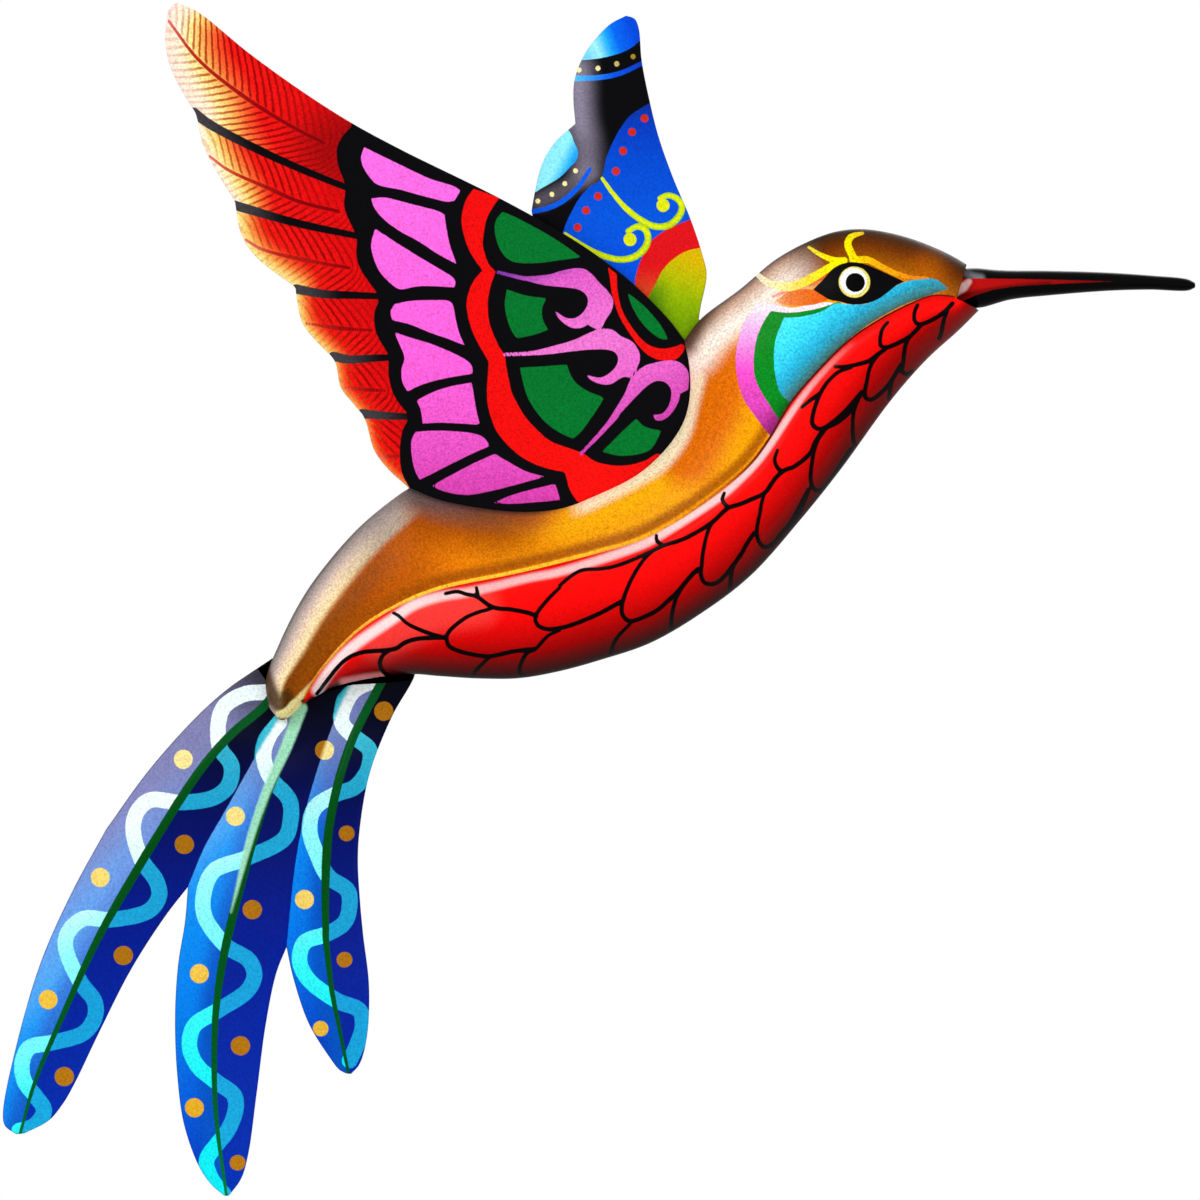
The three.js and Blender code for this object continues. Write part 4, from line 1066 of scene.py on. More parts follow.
class PaintedPiece:
    """A painted sheet that stands for a CAD node: a skin, and coats of enamel worked out on its vertices."""

    node = ""
    enamel = Enamel()

    def skin(self) -> Skin:
        """Build the shape of the piece.

        Returns:
            The skin.
        """
        raise NotImplementedError

    def ground(self, points: Array) -> Array:
        """Return the linear colour of the lowest coat at each point of the square.

        Args:
            points: places in mm.

        Returns:
            Linear colours.
        """
        raise NotImplementedError

    def coats(self, points: Array) -> list[Coat]:
        """Return the layers over the ground, from the lowest to the last.

        Args:
            points: places in mm.

        Returns:
            The layers.
        """
        raise NotImplementedError

    def build(self, rear: Material) -> None:
        """Make the piece, paint it, and put it in place of its CAD node.

        Args:
            rear: the material of the side towards the wall.
        """
        shown = self.skin().finish(f"painted_{self.node}")
        mesh = shown.data
        points = plane_of(mesh)
        coats = self.coats(points)
        keep_colour(mesh, "ground", self.ground(points))
        for coat in coats:
            keep_number(mesh, f"{coat.name}_field", coat.field)
            keep_colour(mesh, f"{coat.name}_tint", coat.tint, coat.cover)
        mesh.materials.append(self.enamel.material(f"{self.node}_enamel", coats))
        mesh.materials.append(rear)
        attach(shown, "root")
        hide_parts(self.node)
        log.info("%s: %d faces, %d coats", self.node, len(mesh.polygons), len(coats))


def pressed(skin: Skin, plane: Array, rear_depth: Callable[[Array], Array], bulge: float = 0.14) -> None:
    """Add a sheet of even thickness whose rear lies at a depth for each point, with a rolled edge.

    The edge bulges out sideways by a bulge times the sine of the way from the front face to the rear.

    Args:
        skin: the body that it is added to.
        plane: grid of points of the square.
        rear_depth: depth of the rear face at points in rows.
        bulge: how far the rolled edge stands out, in millimetres.
    """
    rear = rear_depth(plane.reshape(-1, 2)).reshape(plane.shape[:2])
    loop = border(plane)
    edge = border(rear[..., None])[:, 0]
    area = (loop[:, 0] * np.roll(loop[:, 1], -1) - np.roll(loop[:, 0], -1) * loop[:, 1]).sum()
    side = -math.copysign(bulge, area)
    single = np.linalg.norm(loop - np.roll(loop, 1, axis=0), axis=1) > 1e-6
    owner = (np.cumsum(single) - 1) % single.sum()
    rings = []
    for share in ROLL_SHARES:
        moved = beside(loop[single], side * math.sin(math.pi * share), closed=True)
        rings.append(placed(moved[owner], edge + SHEET * (1 - share)))
    skin.sheet(placed(plane, rear + SHEET), rings, placed(plane, rear))


@dataclass
class NearWing(PaintedPiece):
    """The large wing in front: a fan of flame feathers round rows of scallops, cells and curls.

    It is bent out from the wall along the chord of the body's saddle, and cambered about its length.
    """

    lift: float = 16.0
    bend: float = 1.1
    camber: float = 3.0
    half_width: float = 45.0
    root: tuple[float, float] = (0.0, 26.0)
    upper_share: float = 0.2
    rows: int = 300
    columns: int = 150
    gap_widths: tuple[float, float] = (2.4, 1.6)
    border_start: float = -59.5
    border_widths: tuple[float, ...] = (4.0,) + (6.0,) * 8
    barb_pitch: float = 2.3
    barb_slant: float = 0.75
    barb_curve: float = 0.025
    flame_reach: tuple[float, ...] = (16.5, 12.0, 10.0, 7.5, 6.0, 5.0)
    flame_start: tuple[float, ...] = (0.0, 0.16, 0.34, 0.42, 0.56, 0.62)

    node = "near_wing"
    enamel = Enamel(speckle=0.28)

    def rear_depth(self, points: Array) -> Array:
        """Depth of the rear: the lift grows a little faster than the distance from the saddle's chord.

        Args:
            points: places in mm.

        Returns:
            Depths in mm.
        """
        tip = NEAR_LEADING[0]
        out = left_of(SADDLE[0], SADDLE[-1], points) / left_of(SADDLE[0], SADDLE[-1], np.array([tip]))
        out = np.maximum(0, out)
        side = left_of(self.root, tip, points) / self.half_width
        return OUTER_SHEET + self.lift * out**self.bend - self.camber * out * side**2

    def skin(self) -> Skin:
        """Stretch the sheet between the leading edge and the feather tips, and on round the root.

        Returns:
            The skin.
        """
        root = smooth(NEAR_ROOT)
        turn = int(len(root) * self.upper_share)
        upper = np.vstack((smooth(NEAR_LEADING), root[1:turn]))
        feathers = joined(*NEAR_FEATHERS)[::-1]
        lower = np.vstack((feathers, root[turn - 1:-1][::-1]))
        skin = Skin()
        pressed(skin, stretched(upper, lower, self.rows, self.columns), self.rear_depth)
        return skin

    def feather(self, points: Array) -> Array:
        """Number of the feather that holds each point, from 0 at the top: the gaps that lie above it."""
        above = [points[:, 1] < np.interp(points[:, 0], *np.array(gap).T) for gap in FEATHER_GAPS]
        return np.sum(above, axis=0)

    def ground(self, points: Array) -> Array:
        """Flames from pale tips to deep red, with painted shade on the top feather near the band of scallops.

        Args:
            points: places in mm.

        Returns:
            Linear colours.
        """
        number = self.feather(points)
        gap, _ = nearest(points, joined(*NEAR_FEATHERS))
        # The flame pattern runs from pale tips to deep red, and the pale tips are partly a painted highlight.
        # The top feather gets painted shade near the band of scallops.
        heat = gap / np.take(self.flame_reach, number) + np.take(self.flame_start, number)
        tint = ramp(heat, ((0.0, "#ffe8dc"), (0.2, "#fff2d4"), (0.38, "#ffe890"), (0.54, "#fcb458"),
                           (0.72, "#fc6430"), (0.95, "#f01410"), (1.8, "#e00a0c"), (2.6, "#d0080c")))
        shade = haze(points, ((-46, 111), (-58, 114), (-66, 112)), 2.0, 15.0)
        return over(tint, 0.6 * shade * (number == 0), "#640206")

    def coats(self, points: Array) -> list[Coat]:
        """Barbs and shafts on the feathers, black gaps, then the cells, bands, crescent and curls.

        Args:
            points: places in mm.

        Returns:
            The layers.
        """
        number = self.feather(points)
        shafts = curves(FEATHER_SHAFTS)
        phase = np.zeros(len(points))
        away = np.zeros(len(points))
        for k, shaft in enumerate(shafts):
            own = number == k
            length = np.linalg.norm(shaft[-1] - shaft[0])
            along = (points[own] - shaft[0]) @ (shaft[-1] - shaft[0]) / length
            gap = nearest(points[own], shaft)[0]
            phase[own] = along + self.barb_slant * gap + self.barb_curve * gap**2
            away[own] = gap
        tips = nearest(points, joined(*NEAR_FEATHERS))[0]
        heat = tips / np.take(self.flame_reach, number)
        barb = ramp(heat, ((0.0, "#e09050"), (0.3, "#c0560c"), (0.6, "#a81c04"), (1.0, "#8c0204"),
                           (2.0, "#8c0206")))
        shown = (0.4 + 0.5 * rise(heat, 0.1, 0.45)) * (1 - 0.75 * rise(heat, 0.9, 2.2)) * rise(away, 0.2, 1.0)
        shaft_tint = ramp(heat, ((0.0, "#e87868"), (0.4, "#b42418"), (1.0, "#8c0408"), (2.0, "#780206")))
        band = np.vstack(curves(BAND_EDGE))
        inner = np.vstack((band, ((-47.5, 28), (-40, 5), (40, 5), (40, 70), (10, 95), (-61.5, 121.5))))
        edge = smooth(NEAR_LEADING)
        leading = edge[edge[:, 0] > self.border_start]
        black = linear("#060508")
        right = np.vstack(curves(RED_BAND_RIGHT))
        left = np.vstack(curves(RED_BAND_LEFT))
        red = np.vstack((left[:-1], ((-2, 22), (14, 25), (20, 36), (14, 36.5)), right[::-1]))
        pink = ramp(points[:, 1], ((24, "#d63fae"), (40, "#ea55c8"), (60, "#ff62dc"), (110, "#ff6ee6")))
        curl = ramp(points[:, 1] - 0.4 * points[:, 0], ((36, "#c83cac"), (56, "#ec6cd0"), (66, "#f078d4"),
                                                      (84, "#e05cc8"), (91, "#8038a8")))
        hot = ramp(points[:, 0], ((-35, "#f00c0c"), (0, "#f8100c"), (22, "#dc0a0c")))
        strands = stroked(points, curves(CURL_TAILS), 0.8, 1.0, 1.4)
        return [
            Coat("barbs", phase, barb, cover=shown, comb=self.barb_pitch),
            Coat("shafts", stroked(points, shafts, 0.7, 1.0, 0.8), shaft_tint),
            Coat("gaps", stroked(points, curves(FEATHER_GAPS), *self.gap_widths),
                 over(black, 0.5 * rise(tips, 12, 0), "#5a565c")),
            Coat("field", filled(points, [inner]), black),
            Coat("leading", stroked(points, [leading], *self.border_widths), black),
            Coat("pink_cells", filled(points, shapes(PINK_CELLS)), pink),
            Coat("red_band", filled(points, [red]), hot),
            Coat("green_cells", filled(points, shapes(GREEN_CELLS)), linear("#04742c")),
            Coat("crescent", filled(points, shapes([CRESCENT])), linear("#ec100c")),
            Coat("curls", np.maximum(filled(points, shapes(CURLS)), strands), curl),
        ]


@dataclass
class FarWing(PaintedPiece):
    """The small wing behind: banded tip, a blue field with scrolls and dots, and a sun at its root.

    It is flat where it lies in the body, then lifts towards its tip and falls off to both sides.
    """

    lift: float = 9.0
    bend: float = 1.3
    camber: float = 3.0
    half_width: float = 22.0
    flat: float = 0.3
    root: tuple[float, float] = (27.0, 55.0)
    rows: int = 210
    columns: int = 80
    red_dots: Points = ((11.1, 120.1), (8, 116.75), (5.75, 112), (4, 107), (-0.5, 100.75), (-3.5, 97.25),
                        (-5.6, 93))
    cream_dots: Points = ((-5.2, 132.1), (-0.5, 132.5), (4.2, 133.6), (8.25, 135.4), (-6.1, 107.1),
                          (-8.75, 103.9), (-12, 101.25), (-15.5, 99.6))
    balls: Points = ((15.75, 98.5), (7.5, 90))

    node = "far_wing"
    enamel = Enamel(speckle=0.2)

    def rear_depth(self, points: Array) -> Array:
        """Depth of the rear: it rises past the flat root, less the square of the distance to the side.

        Args:
            points: places in mm.

        Returns:
            Depths in mm.
        """
        tip = np.array(FAR_TIP_LOBE[0])
        root = np.array(self.root)
        out = np.linalg.norm(points - root, axis=1) / np.linalg.norm(tip - root)
        side = left_of(self.root, tip, points) / self.half_width
        up = np.maximum(0, (out - self.flat) / (1 - self.flat))
        return INNER_SHEET + self.lift * up**self.bend - self.camber * up * side**2

    def skin(self) -> Skin:
        """Stretch the sheet between its two sides, from the tip to the root in the body.

        Returns:
            The skin.
        """
        root = smooth(FAR_ROOT)
        low = int(np.argmin(root[:, 1] + 0.2 * root[:, 0]))
        left = np.vstack((joined(FAR_TIP_LOBE, FAR_LOWER_LOBE), root[1:low + 1]))
        right = np.vstack((smooth(FAR_RIGHT)[::-1], root[low:-1][::-1]))
        skin = Skin()
        pressed(skin, stretched(left, right, self.rows, self.columns), self.rear_depth)
        return skin

    def ground(self, points: Array) -> Array:
        """Black with a soft grey sheen along the left side.

        Args:
            points: places in mm.

        Returns:
            Linear colours.
        """
        black = linear("#07070b")
        # Painted highlight: a grey sheen down the left side, fainter low down, and a fainter grey one along
        # the lower line.
        sheen = haze(points, ((-5.5, 132), (-5, 120), (-3.5, 113), (-3.5, 107)), 0.0, 7.0)
        faint = 0.65 + 0.35 * rise(points[:, 1], 112, 120)
        lower = haze(points, ((-3, 107), (-8, 103), (-15, 99.5)), 0.5, 3.0)
        return over(over(black, 0.8 * faint * sheen**1.5, "#9890a8"), 0.35 * lower, "#8a8290")

    def coats(self, points: Array) -> list[Coat]:
        """Tip cap, lobe, blue field and lines, then the sun's rings, scrolls and dots.

        Args:
            points: places in mm.

        Returns:
            The layers.
        """
        x, z = points[:, 0], points[:, 1]
        # The tip cap, the lobe and the upper line are paler on their left: a painted highlight on that side.
        cap = ramp(x + 0.35 * (z - 140), ((-4.5, "#80dcff"), (-1.5, "#a0f0ff"), (1.5, "#20acff"),
                                         (4, "#066af4"), (9, "#0448dc")))
        lobe = ramp(x - 0.5 * (z - 108), ((-17, "#8ce8ff"), (-11, "#90f0ff"), (-8, "#28b0ff"),
                                         (-5, "#0a7cf0")))
        first, second = curves(BLUE_FIELD_LEFT)
        corner = ((40, 120), (40, 60), (-2, 60), (-16, 88))
        blue = ramp(z, ((75, "#0650e6"), (95, "#0656de"), (110, "#044ad2"), (118, "#063cc0"),
                        (126, "#0a2c90")))
        scrolls = curves(SCROLLS)
        scroll = ramp(nearest(points, np.vstack(scrolls))[0], ((0.0, "#e4f010"), (0.5, "#d4e818"),
                                                               (1.0, "#4ca028")))
        glow = ramp(z + 0.35 * (x - 18), ((70, "#78a404"), (76, "#92b404"), (81, "#b8bc04"),
                                         (87, "#dcb804")))
        glow = over(glow, 0.7 * rise(x, 19, 13) * rise(z, 84, 75), "#3c7808")
        cream = over(linear("#fff0a8"), rise(x, -2, 8), "#a88c28")
        return [
            Coat("cap", filled(points, shapes([TIP_CAP])), cap),
            Coat("lobe", filled(points, shapes([CYAN_LOBE])), lobe),
            Coat("blue_field", filled(points, [np.vstack((first, second, corner[::-1]))]), blue),
            Coat("upper_line", stroked(points, curves([UPPER_LINE]), 1.4, 1.1),
                 ramp(x, ((-6, "#54c4ff"), (-1, "#2a86f8"), (3, "#0a58e8"), (10, "#083cc4")))),
            Coat("lower_line", stroked(points, curves([LOWER_LINE]), 1.0, 1.3, 1.2),
                 linear("#0a5cec")),
            Coat("red_arc", filled(points, shapes([RED_ARC])),
                 over(linear("#e0141a"), 0.5 * rise(z, 84, 76), "#d85a28")),
            Coat("sun", filled(points, shapes([SUN])), glow),
            Coat("scrolls", stroked(points, scrolls, 0.8, 1.5, 1.8, 1.4), scroll),
            Coat("balls", dotted(points, self.balls, 1.65), linear("#e0e814")),
            Coat("red_dots", dotted(points, self.red_dots, 1.0), linear("#d02c1c")),
            Coat("cream_dots", dotted(points, self.cream_dots, 0.65), cream),
        ]


@dataclass
class TailFan(PaintedPiece):
    """Three tail feathers, creased along a rib each, one sheet as far as the two notches, then apart."""

    ridge: float = 4.0
    flat: float = 0.16
    full: float = 0.45
    rows: int = 130
    strip: int = 17
    pad: tuple[int, int] = (40, 10)
    pad_bulge: float = 0.05
    crease: float = 0.12
    rib_width: float = 2.2
    wave_width: float = 3.9

    node = "tail_fan"
    enamel = Enamel(speckle=0.22)

    def folded(self, skin: Skin, lines: Sequence[Array], heights: Callable[[Array], Array]) -> None:
        """Add a sheet folded along lines: straight between them, with the creases rounded a little.

        The height of a rib is a function of the share of its length. Between two lines the depth goes
        straight, and near each of them a parabola rounds the crease.

        Args:
            skin: the body that it is added to.
            lines: the left edge, then ribs and valleys in turn, to the right edge.
            heights: height of the ribs above the flat, at shares of their length.
        """
        shares = np.linspace(0, 1, self.rows + 1)
        places = np.stack([at_shares(line, shares) for line in lines], axis=1)
        ribs = np.arange(len(lines)) % 2
        across = np.linspace(0, len(lines) - 1, self.strip * (len(lines) - 1) + 1)
        index = np.minimum(across.astype(int), len(lines) - 2)
        part = (across - index)[None, :, None]
        plane = places[:, index] + part * (places[:, index + 1] - places[:, index])
        wave = np.interp(across, np.arange(len(lines)), ribs)
        low = self.crease / 2 + wave**2 / (2 * self.crease)
        high = 1 - self.crease / 2 - (1 - wave)**2 / (2 * self.crease)
        rounded = np.where(wave < self.crease, low, np.where(wave > 1 - self.crease, high, wave))
        rounded = (rounded - self.crease / 2) / (1 - self.crease)
        rear = INNER_SHEET + heights(shares)[:, None] * rounded[None, :]
        pressed(skin, plane, lambda _: rear.reshape(-1))

    def skin(self) -> Skin:
        """Build the root, the pad that is riveted in the body, and the three tips.

        Returns:
            The skin.
        """
        lines = curves((TAIL_EDGE_LEFT, TAIL_RIB_LEFT, TAIL_VALLEY_LEFT, TAIL_RIB_MIDDLE,
                        TAIL_VALLEY_RIGHT, TAIL_RIB_RIGHT, TAIL_EDGE_RIGHT))
        skin = Skin()
        self.folded(skin, lines, lambda share: self.ridge * rise(share, self.flat, self.full))
        for tip in TAIL_TIPS:
            self.folded(skin, curves(tip), lambda share: self.ridge * (1 - share**4))
        pad = smooth(TAIL_PAD_TOP)[::-1]
        under = np.vstack([at_shares(line, np.array([self.flat / 2])) for line in lines])
        plane = stretched(pad, at_shares(under, np.linspace(0, 1, self.pad[0])), *self.pad)
        pressed(skin, plane, lambda points: np.full(len(points), INNER_SHEET), self.pad_bulge)
        return skin

    def ribs(self) -> list[Array]:
        """Lines of the three ribs, from the root to the tips."""
        roots = (TAIL_RIB_LEFT, TAIL_RIB_MIDDLE, TAIL_RIB_RIGHT)
        return [np.vstack((smooth(root), smooth(tip[1])[1:])) for root, tip in zip(roots, TAIL_TIPS)]

    def lit_halves(self, points: Array) -> Array:
        """Millimetres inside the halves left of the ribs, painted light as the lit sides of the folds.

        Args:
            points: places in mm.

        Returns:
            Millimetres, up to the field's reach.
        """
        starts = (TAIL_EDGE_LEFT, TAIL_VALLEY_LEFT, TAIL_VALLEY_RIGHT)
        lefts = [np.vstack((smooth(root), smooth(tip[0])[1:])) for root, tip in zip(starts, TAIL_TIPS)]
        return filled(points, [np.vstack((left, rib[::-1])) for left, rib in zip(lefts, self.ribs())])

    def ground(self, points: Array) -> Array:
        """Black at the root to navy at the tips: the shaded halves right of the ribs, in painted shade."""
        return ramp(-points[:, 1], ((15, "#040408"), (30, "#04051c"), (50, "#040e58"), (75, "#041a88"),
                                    (100, "#0424a0"), (148, "#0434b8")))

    def coats(self, points: Array) -> list[Coat]:
        """Lit halves in painted light, waves of light blue across the ribs, the ribs over them, and dots of
        ochre.

        Args:
            points: places in mm.

        Returns:
            The layers.
        """
        fall = -points[:, 1]
        waves = curves(TAIL_WAVES)
        ribs = self.ribs()
        away = np.min([nearest(points, rib)[0] for rib in ribs], axis=0)
        bright = fall + 0.9 * (points[:, 0] + 127)
        light = ramp(bright, ((50, "#8482ac"), (62, "#7e88c2"), (75, "#6c94e0"), (90, "#3c7cdc"),
                              (105, "#1466d2"), (130, "#0454c4")))
        azure = ramp(bright, ((60, "#8488c0"), (72, "#6ca0ea"), (86, "#50aefa"), (96, "#0898fa"),
                              (124, "#0486f4"), (145, "#0464e4"), (162, "#0440c8")))
        light = over(light, 0.8 * rise(away, 1.5, 6.5), azure)
        light = over(light, 0.75 * rise(fall, 58, 30), "#7c7ca8")
        # Painted shade at the root, where it meets the rump.
        light = over(light, 0.97 * spot(points, (-84, -16.5), 17)**0.5, "#343238")
        halves = self.lit_halves(points)
        share = rise(halves, -0.5, 0.5)
        # Waves and dots take a lit tint on the lit halves and a shaded tint on the others: painted light and
        # shade.
        pale = ramp(fall + 0.5 * (points[:, 0] + 127), ((60, "#f0feff"), (72, "#d8fdfd"), (85, "#94fcfd"),
                                                        (105, "#70fafd"), (118, "#34fafa"), (140, "#10f0fa")))
        deep = ramp(fall, ((20, "#50ccd8"), (50, "#20a8d4"), (100, "#18a4e0"), (148, "#18b0e4")))
        shades = curves(WAVE_SHADES)
        # Painted highlight along the left side of the middle rib.
        rib_highlight = curves([((-74.75, -27), (-78.25, -36.5), (-83.25, -47.75), (-87.25, -59.5), (-92, -78))])
        big, small = TAIL_DOTS
        dots = np.maximum(dotted(points, big, 2.4), dotted(points, small, 1.95))
        gold = ramp(fall, ((30, "#f8e8a0"), (60, "#fae080"), (100, "#f0c040"), (148, "#e0a010")))
        brown = ramp(fall, ((30, "#a86c10"), (148, "#bc7c10")))
        return [
            Coat("lit_halves", halves, light),
            Coat("wave_shades", stroked(points, shades, 1.0, 1.8, 1.0), linear("#20b0c8")),
            Coat("waves", stroked(points, waves, self.wave_width), over(deep, share, pale)),
            Coat("ribs", stroked(points, ribs, self.rib_width, self.rib_width, 0.7),
                 ramp(fall, ((30, "#045420"), (60, "#004a10"), (120, "#005820"), (148, "#047830")))),
            Coat("rib_highlight", stroked(points, rib_highlight, 3.2, 2.4, 1.8, 0.4), linear("#a8ecc8"),
                 Border.SPRAYED, cover=0.85),
            Coat("dots", dots, over(brown, share, gold)),
        ]


def meeting(*distances: Array) -> Array:
    """Distance to the nearest of some lines, without the ridge between them: a mean of power -6."""
    return np.sum([np.maximum(gap, 1e-3)**-6.0 for gap in distances], axis=0)**(-1 / 6)


def crown(points: Array) -> Array:
    """Depth of the gold dome over the back plate.

    With a and b the distances to the upper and the lower edge, the dome stands out by
    crown (1 - exp(-(a + b) / width)) (4 a b / (a + b)^2)^roundness over its rim.

    Args:
        points: places in mm.

    Returns:
        Depths in mm.
    """
    above = meeting(*(nearest(points, smooth(stroke, DOME_STEP))[0] for stroke in (BACK, SADDLE, CROWN)))
    below = nearest(points, joined(RUMP_TIP, BELLY, step=DOME_STEP))[0]
    across = above / np.maximum(above + below, 1e-6)
    height = BODY_CROWN * (1 - np.exp(-(above + below) / BODY_CROWN_WIDTH))
    return RIM + height * (4 * across * (1 - across))**BODY_ROUNDNESS


def skirted(skin: Skin, edge: Array, opposite: Array, rows: int, columns: int,
            depth: Callable[[Array], Array], base: Callable[[Array, Array], Array]) -> None:
    """Add a domed shell with a skirt: front, skirt down to its base, and an even inner face.

    Args:
        skin: the body that it is added to.
        edge: upper edge, from the tail to the head.
        opposite: lower edge, from the tail to the head.
        rows: steps along the edges.
        columns: steps across.
        depth: depth of the dome at points in rows.
        base: depth of the foot of the skirt at points of the border, given with the dome's depth there.
    """
    outer = stretched(edge, opposite, rows, columns)
    inner = stretched(beside(edge, -SHEET), beside(opposite, SHEET), rows, columns)
    front = depth(outer.reshape(-1, 2)).reshape(outer.shape[:2])
    rear = depth(inner.reshape(-1, 2)).reshape(inner.shape[:2]) - SHEET
    loop, within = border(outer), border(inner)
    shoulder = border(front[..., None])[:, 0]
    foot = base(loop, shoulder)
    waist = shoulder + SKIRT_WAIST * (foot - shoulder)
    soles = [placed(loop + share * (within - loop), foot) for share in (BEVEL_SHARE, 1 - BEVEL_SHARE)]
    rings = [placed(loop, waist), placed(loop, foot + BEVEL), *soles, placed(within, foot + BEVEL)]
    skin.sheet(placed(outer, front), rings, placed(inner, np.maximum(rear, PLATE_FRONT + BEVEL)))


def folded_tab(skin: Skin, edge: Array, share: float, inward: float, width: float = 5.0,
               length: float = 4.0, corner: float = 0.5) -> None:
    """Add a tab that carries the skirt on behind the back plate and folds in under it.

    Its profile is an L of sheet with a rounded outer corner, carried along the edge for its width.

    Args:
        skin: the body that it is added to.
        edge: the edge that it grows from.
        share: where on the edge its middle is.
        inward: 1 where the body lies to the left of the edge, -1 where it lies to the right.
        width: width of the tab.
        length: how far it folds in.
        corner: size of its rounded corner.
    """
    place = at_shares(edge, np.array([share]))[0]
    run = at_shares(edge, np.array([share + 0.01]))[0] - at_shares(edge, np.array([share - 0.01]))[0]
    run = run / np.hypot(*run)
    side = inward * np.array([-run[1], run[0]])
    rear = PLATE_REAR - GAP - SHEET
    cut = 0.3 * corner
    profile = np.array([(0, PLATE_FRONT), (0, rear + corner), (cut, rear + cut), (corner, rear),
                        (length, rear), (length, rear + SHEET), (SHEET, rear + SHEET), (SHEET, PLATE_FRONT)])
    steps = np.linspace(-width / 2, width / 2, 5)
    plane = place + profile[None, :, :1] * side + steps[:, None, None] * run
    tube = placed(np.concatenate((plane, plane[:, :1]), axis=1), np.append(profile[:, 1], profile[0, 1]))
    skin.grid(tube, Face.REAR)
    half = len(profile) // 2
    for end in (0, -1):
        ring = tube[end, :-1]
        skin.grid(np.stack((ring[:half], ring[:half - 1:-1])), Face.REAR)


def passage_base(points: Array) -> Array:
    """Foot of the body's skirt: on the back plate, or clear of the wing or tail that comes out there.

    Args:
        points: places in mm.

    Returns:
        Depths in mm.
    """
    near = np.vstack((joined(NEAR_LEADING, NEAR_ROOT), joined(*NEAR_FEATHERS)))
    far = np.vstack((joined(FAR_TIP_LOBE, FAR_LOWER_LOBE, FAR_ROOT), smooth(FAR_RIGHT)))
    tail = np.vstack((smooth(TAIL_EDGE_LEFT), smooth(TAIL_EDGE_RIGHT)[::-1], smooth(TAIL_PAD_TOP)))
    base = np.full(len(points), PLATE_REAR)
    base = np.where(filled(points, [tail]) > -GAP, INNER_SHEET + SHEET + GAP, base)
    base = np.where(filled(points, [far]) > -GAP, INNER_SHEET + SHEET + GAP, base)
    return np.where(filled(points, [near]) > -GAP, OUTER_SHEET + SHEET + GAP, base)


